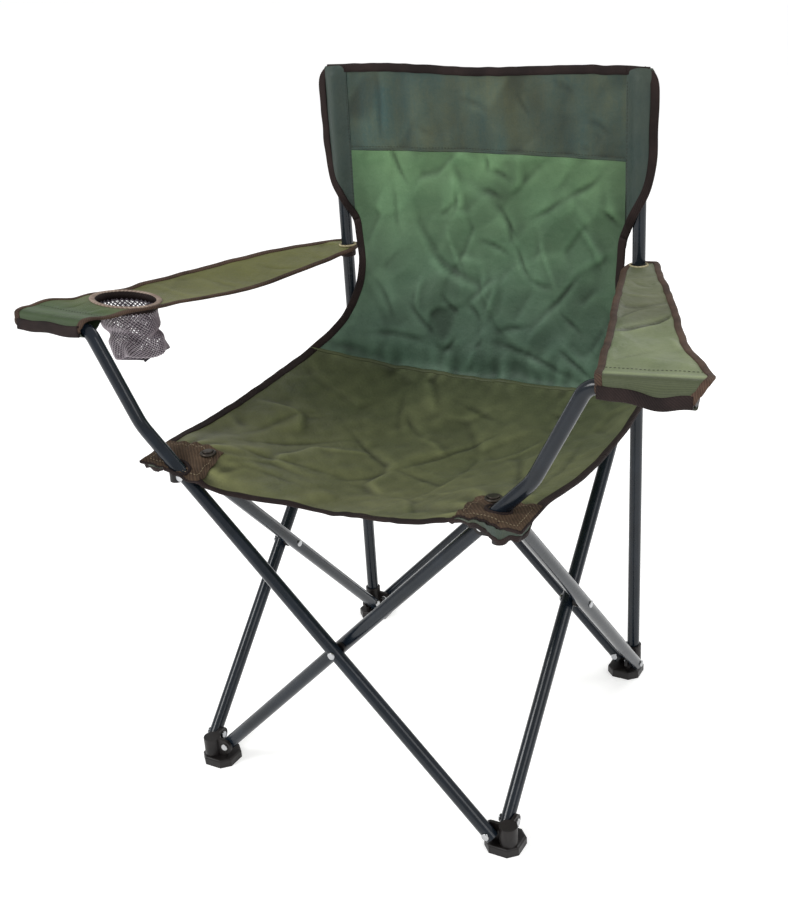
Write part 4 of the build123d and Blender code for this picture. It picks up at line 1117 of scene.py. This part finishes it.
arms = {}
for lean, side in SIDES:
    p, n, uv, at, far, tone = arm_grid(lean)
    c = cell_centres(p)
    top_part = np.repeat((at[:-1] > far[8])[:, None], ARM_COLS - 1, axis=1)
    keep = ~((np.hypot(c[:, :, 0] - lean * CORNER, c[:, :, 1] - CORNER) < POST_HOLE) & top_part)
    if lean < 0:
        keep &= ~((np.hypot(c[:, :, 0] - CUP[0], c[:, :, 1] - CUP[1]) < CUP_HOLE) & top_part)
    panel = cloth_object(f"{side}_arm_panel", p, n, uv, M_ARM_PALE if lean > 0 else M_ARM, 0.0015, keep, tone)
    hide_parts(f"{side}_arm_cloth")
    first = index_of(at, far[5])
    pieces = [panel]
    # Tape along one side, round the rear end and back along the other side
    last = len(at) - 1
    outline = np.concatenate([p[first:, 0], p[-1, 1:-1], p[first:, -1][::-1]])
    outline_n = np.concatenate([n[first:, 0], n[-1, 1:-1], n[first:, -1][::-1]])
    turn = last - first
    outline[turn - 8:turn + ARM_COLS + 8] = softened(outline[turn - 8:turn + ARM_COLS + 8], 8)
    pieces += hem_tape(f"{side}_arm_side_tape", outline, outline_n, unit(p.reshape(-1, 3).mean(0) - outline),
                       M_ARM_TAPE, (), 100 + lean, width=0.0056, half=0.0017, wavy=0.0005)
    hem = index_of(at, far[5] - 0.0008)
    pieces += hem_tape(f"{side}_arm_front_tape", p[hem] + (0, -0.0014, -0.0038),
                       repeated((0, -1.0, 0.1), ARM_COLS), UP, M_TAPE, (), 110 + lean, width=0.0112,
                       half=0.002)
    behind = index_of(at, far[10] + 0.002)
    pieces.append(stitches(f"{side}_arm_stitches", p[behind, 2:-2] + n[behind, 2:-2] * 0.0008,
                           n[behind, 2:-2], M_DARK_THREAD))
    ring_z = float(np.mean(p[np.abs(p[:, 0, 1] - CORNER) < 0.008][:, :, 2]))
    pieces.append(ring_sweep(f"{side}_post_piping", (lean * CORNER, CORNER, ring_z + 0.0006),
                             np.array((1.0, 0, 0)), np.array((0, 1.0, 0)), POST_HOLE + 0.0006, 0.0015,
                             M_PIPING, np.array(UP)))
    for piece in pieces:
        settle(piece, f"{side}_arm")
        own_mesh(piece)
    arms[side] = pieces

    # Strap round the post that the arm's rear end is sewn to
    out = np.array([(math.cos(a), math.sin(a), 0) for a in ring_angles(RING_POINTS)])
    ring = np.array([(lean * CORNER + STRAP_R * x, CORNER + STRAP_R * y, STRAP_Z) for x, y, _ in out])
    section = np.array([(-0.0009, -0.0046), (0.0004, -0.005), (0.0009, -0.0042), (0.0011, 0),
                        (0.0009, 0.0042), (0.0004, 0.005), (-0.0009, 0.0046), (-0.001, 0)])
    strap = swept(f"{side}_post_strap", ring, out, repeated(UP, RING_POINTS), section, M_TAPE, closed=True)
    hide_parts(f"{side}_arm_strap")
    settle(strap, f"rear_{side}_frame")

# Cup holder: ring and net bag on the left arm
rim_profile = [(0.0392 + 0.0034 * math.cos(a), 0.0013 * math.sin(a)) for a in ring_angles(16)]
ring = lathe("cup_mouth_ring", rim_profile, (CUP[0], CUP[1], CUP_RIM_Z), M_RING, 96,
             warp=lambda a, z: 0.00016 * math.cos(48 * a))
band = lathe("cup_net_band", [(0.0354, 0.0), (0.0366, 0.0004), (0.0362, -0.0105), (0.035, -0.011)],
             (CUP[0], CUP[1], CUP_RIM_Z), M_TAPE, 64, warp=lambda a, z: 0.0004 * math.cos(7 * a))
for piece in (ring, band):
    for v in piece.data.vertices:
        v.co.z += rim_height(v.co.x, v.co.y) - CUP_RIM_Z
    settle(piece, "left_arm")
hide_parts("cup_ring")


def net_place(turn, t, inset):
    """Point of the net bag at a turn round it and a share of the way from the mouth to its middle."""
    wall = min(1.0, t / 0.76)
    inside = max(0.0, (t - 0.76) / 0.24)
    tier = 1 - 0.16 * float(bell((wall - 0.52 - 0.06 * math.cos(turn * 2)) / 0.16))
    radius = (0.036 - inset - 0.005 * wall) * tier * (1 - inside) ** 0.9
    dent = 0.0034 * wall * math.cos(3 * turn + 0.7 + 2 * wall) + 0.0022 * wall * math.cos(5 * turn + 6 * wall)
    depth = 0.009 + 0.056 * wall + 0.0055 * wall**2 * math.cos(turn - 2.4) + 0.0035 * inside
    depth += 0.0026 * wall * math.cos(3 * turn + 1.1)
    r = max(radius + dent * (1 - inside), 0.0015)
    lean_x, lean_y = 0.019 * wall**1.3, -0.004 * wall
    x = CUP[0] + lean_x + r * math.cos(turn)
    y = CUP[1] + lean_y + r * math.sin(turn)
    return (x, y, CUP_RIM_Z + (rim_height(x, y) - CUP_RIM_Z) * (1 - wall) - depth)


def net_bag(name, around, down, inset, thick, material):
    """A net of diamonds, its threads as thin bars."""
    verts = [net_place(2 * math.pi * (j + 0.5 * (i % 2)) / around, i / down, inset)
             for i in range(down + 1) for j in range(around)]
    faces = []
    for i in range(down - 1):
        for j in range(around):
            left, right = (j + i % 2 - 1) % around, (j + i % 2) % around
            faces.append((i * around + j, (i + 1) * around + left, (i + 2) * around + j,
                          (i + 1) * around + right))
    bag = new_object(name, verts, faces, material, np.array([(v[0], v[2]) for v in verts]))
    wires = bag.modifiers.new("threads", "WIREFRAME")
    wires.thickness = thick
    wires.use_even_offset = False
    wires.use_boundary = True
    settle(bag, "left_arm")
    return bag


net = net_bag("cup_net_bag", 44, 38, 0.0, 0.0012, M_NET)
# A second, smaller net of dark threads inside the bag: it thickens the net and paints the shade in its folds
net_painted_shade = net_bag("cup_net_lining", 36, 30, 0.0016, 0.0022, M_NET_PAINTED_SHADE)
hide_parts("cup_net")

# ---------------------------------------------------------------- the soft pieces, unpacked by side and not used further

for side in ("right", "left"):
    low, high, rear, tape, mouth, top, seam = sleeves[side]
    panel, *extra = arms[side]

# ---------------------------------------------------------------- floor, light, camera

scene = bpy.context.scene
scene.view_settings.view_transform = "Standard"

floor_mesh = bpy.data.meshes.new("floor")
floor_mesh.from_pydata([(-30, -30, 0), (30, -30, 0), (30, 30, 0), (-30, 30, 0)], [], [(0, 1, 2, 3)])
floor = bpy.data.objects.new("floor", floor_mesh)
bpy.context.collection.objects.link(floor)
M_FLOOR, tree, shader = principled("floor_paint", Roughness=0.9, Specular_IOR_Level=0.1,
                                   Emission_Strength=0.47, Emission_Color=(1.0, 1.0, 1.0, 1.0))
place = node(tree, "TexCoord").outputs["Object"]
tree.links.new(blend_colour(tree, noise(tree, place, 3.0), (0.86, 0.86, 0.855), (0.88, 0.88, 0.875)),
               shader.inputs["Base Color"])
floor_mesh.materials.append(M_FLOOR)

world = scene.world or bpy.data.worlds.new("World")
scene.world = world
world.use_nodes = True
world.node_tree.nodes["Background"].inputs["Color"].default_value = (1.0, 1.0, 1.0, 1.0)
world.node_tree.nodes["Background"].inputs["Strength"].default_value = 0.62


def area_light(name, place, target, size, energy, colour=(1, 1, 1)):
    data = bpy.data.lights.new(name, "AREA")
    data.shape = "RECTANGLE"
    data.size, data.size_y = size
    data.energy = energy
    data.color = colour
    lamp = bpy.data.objects.new(name, data)
    lamp.location = place
    lamp.rotation_euler = (Vector(target) - Vector(place)).to_track_quat("-Z", "Y").to_euler()
    bpy.context.collection.objects.link(lamp)
    return lamp


area_light("key", (-1.6, -2.0, 2.4), (0, 0, 0.4), (1.2, 1.2), 46)
area_light("fill", (2.4, -1.0, 1.6), (0, 0, 0.4), (1.2, 1.2), 12)
area_light("behind", (0.9, 2.2, 2.0), (0, 0, 0.5), (2.0, 1.2), 26)

camera = bpy.data.objects.new("camera", bpy.data.cameras.new("camera"))
camera.data.lens = CAM_LENS
camera.data.sensor_width = 36.0
camera.data.clip_start, camera.data.clip_end = 0.05, 100.0
az, el, roll = (math.radians(a) for a in (CAM_AZIMUTH, CAM_ELEVATION, CAM_ROLL))
back = Vector((math.sin(az) * math.cos(el), -math.cos(az) * math.cos(el), math.sin(el)))
right = Vector((math.cos(az), math.sin(az), 0))
up = back.cross(right)
right, up = right * math.cos(roll) + up * math.sin(roll), up * math.cos(roll) - right * math.sin(roll)
place = CAM_TARGET + back * CAM_DISTANCE
camera.matrix_world = Matrix(((right.x, up.x, back.x, place.x), (right.y, up.y, back.y, place.y),
                              (right.z, up.z, back.z, place.z), (0, 0, 0, 1)))
bpy.context.collection.objects.link(camera)
scene.camera = camera
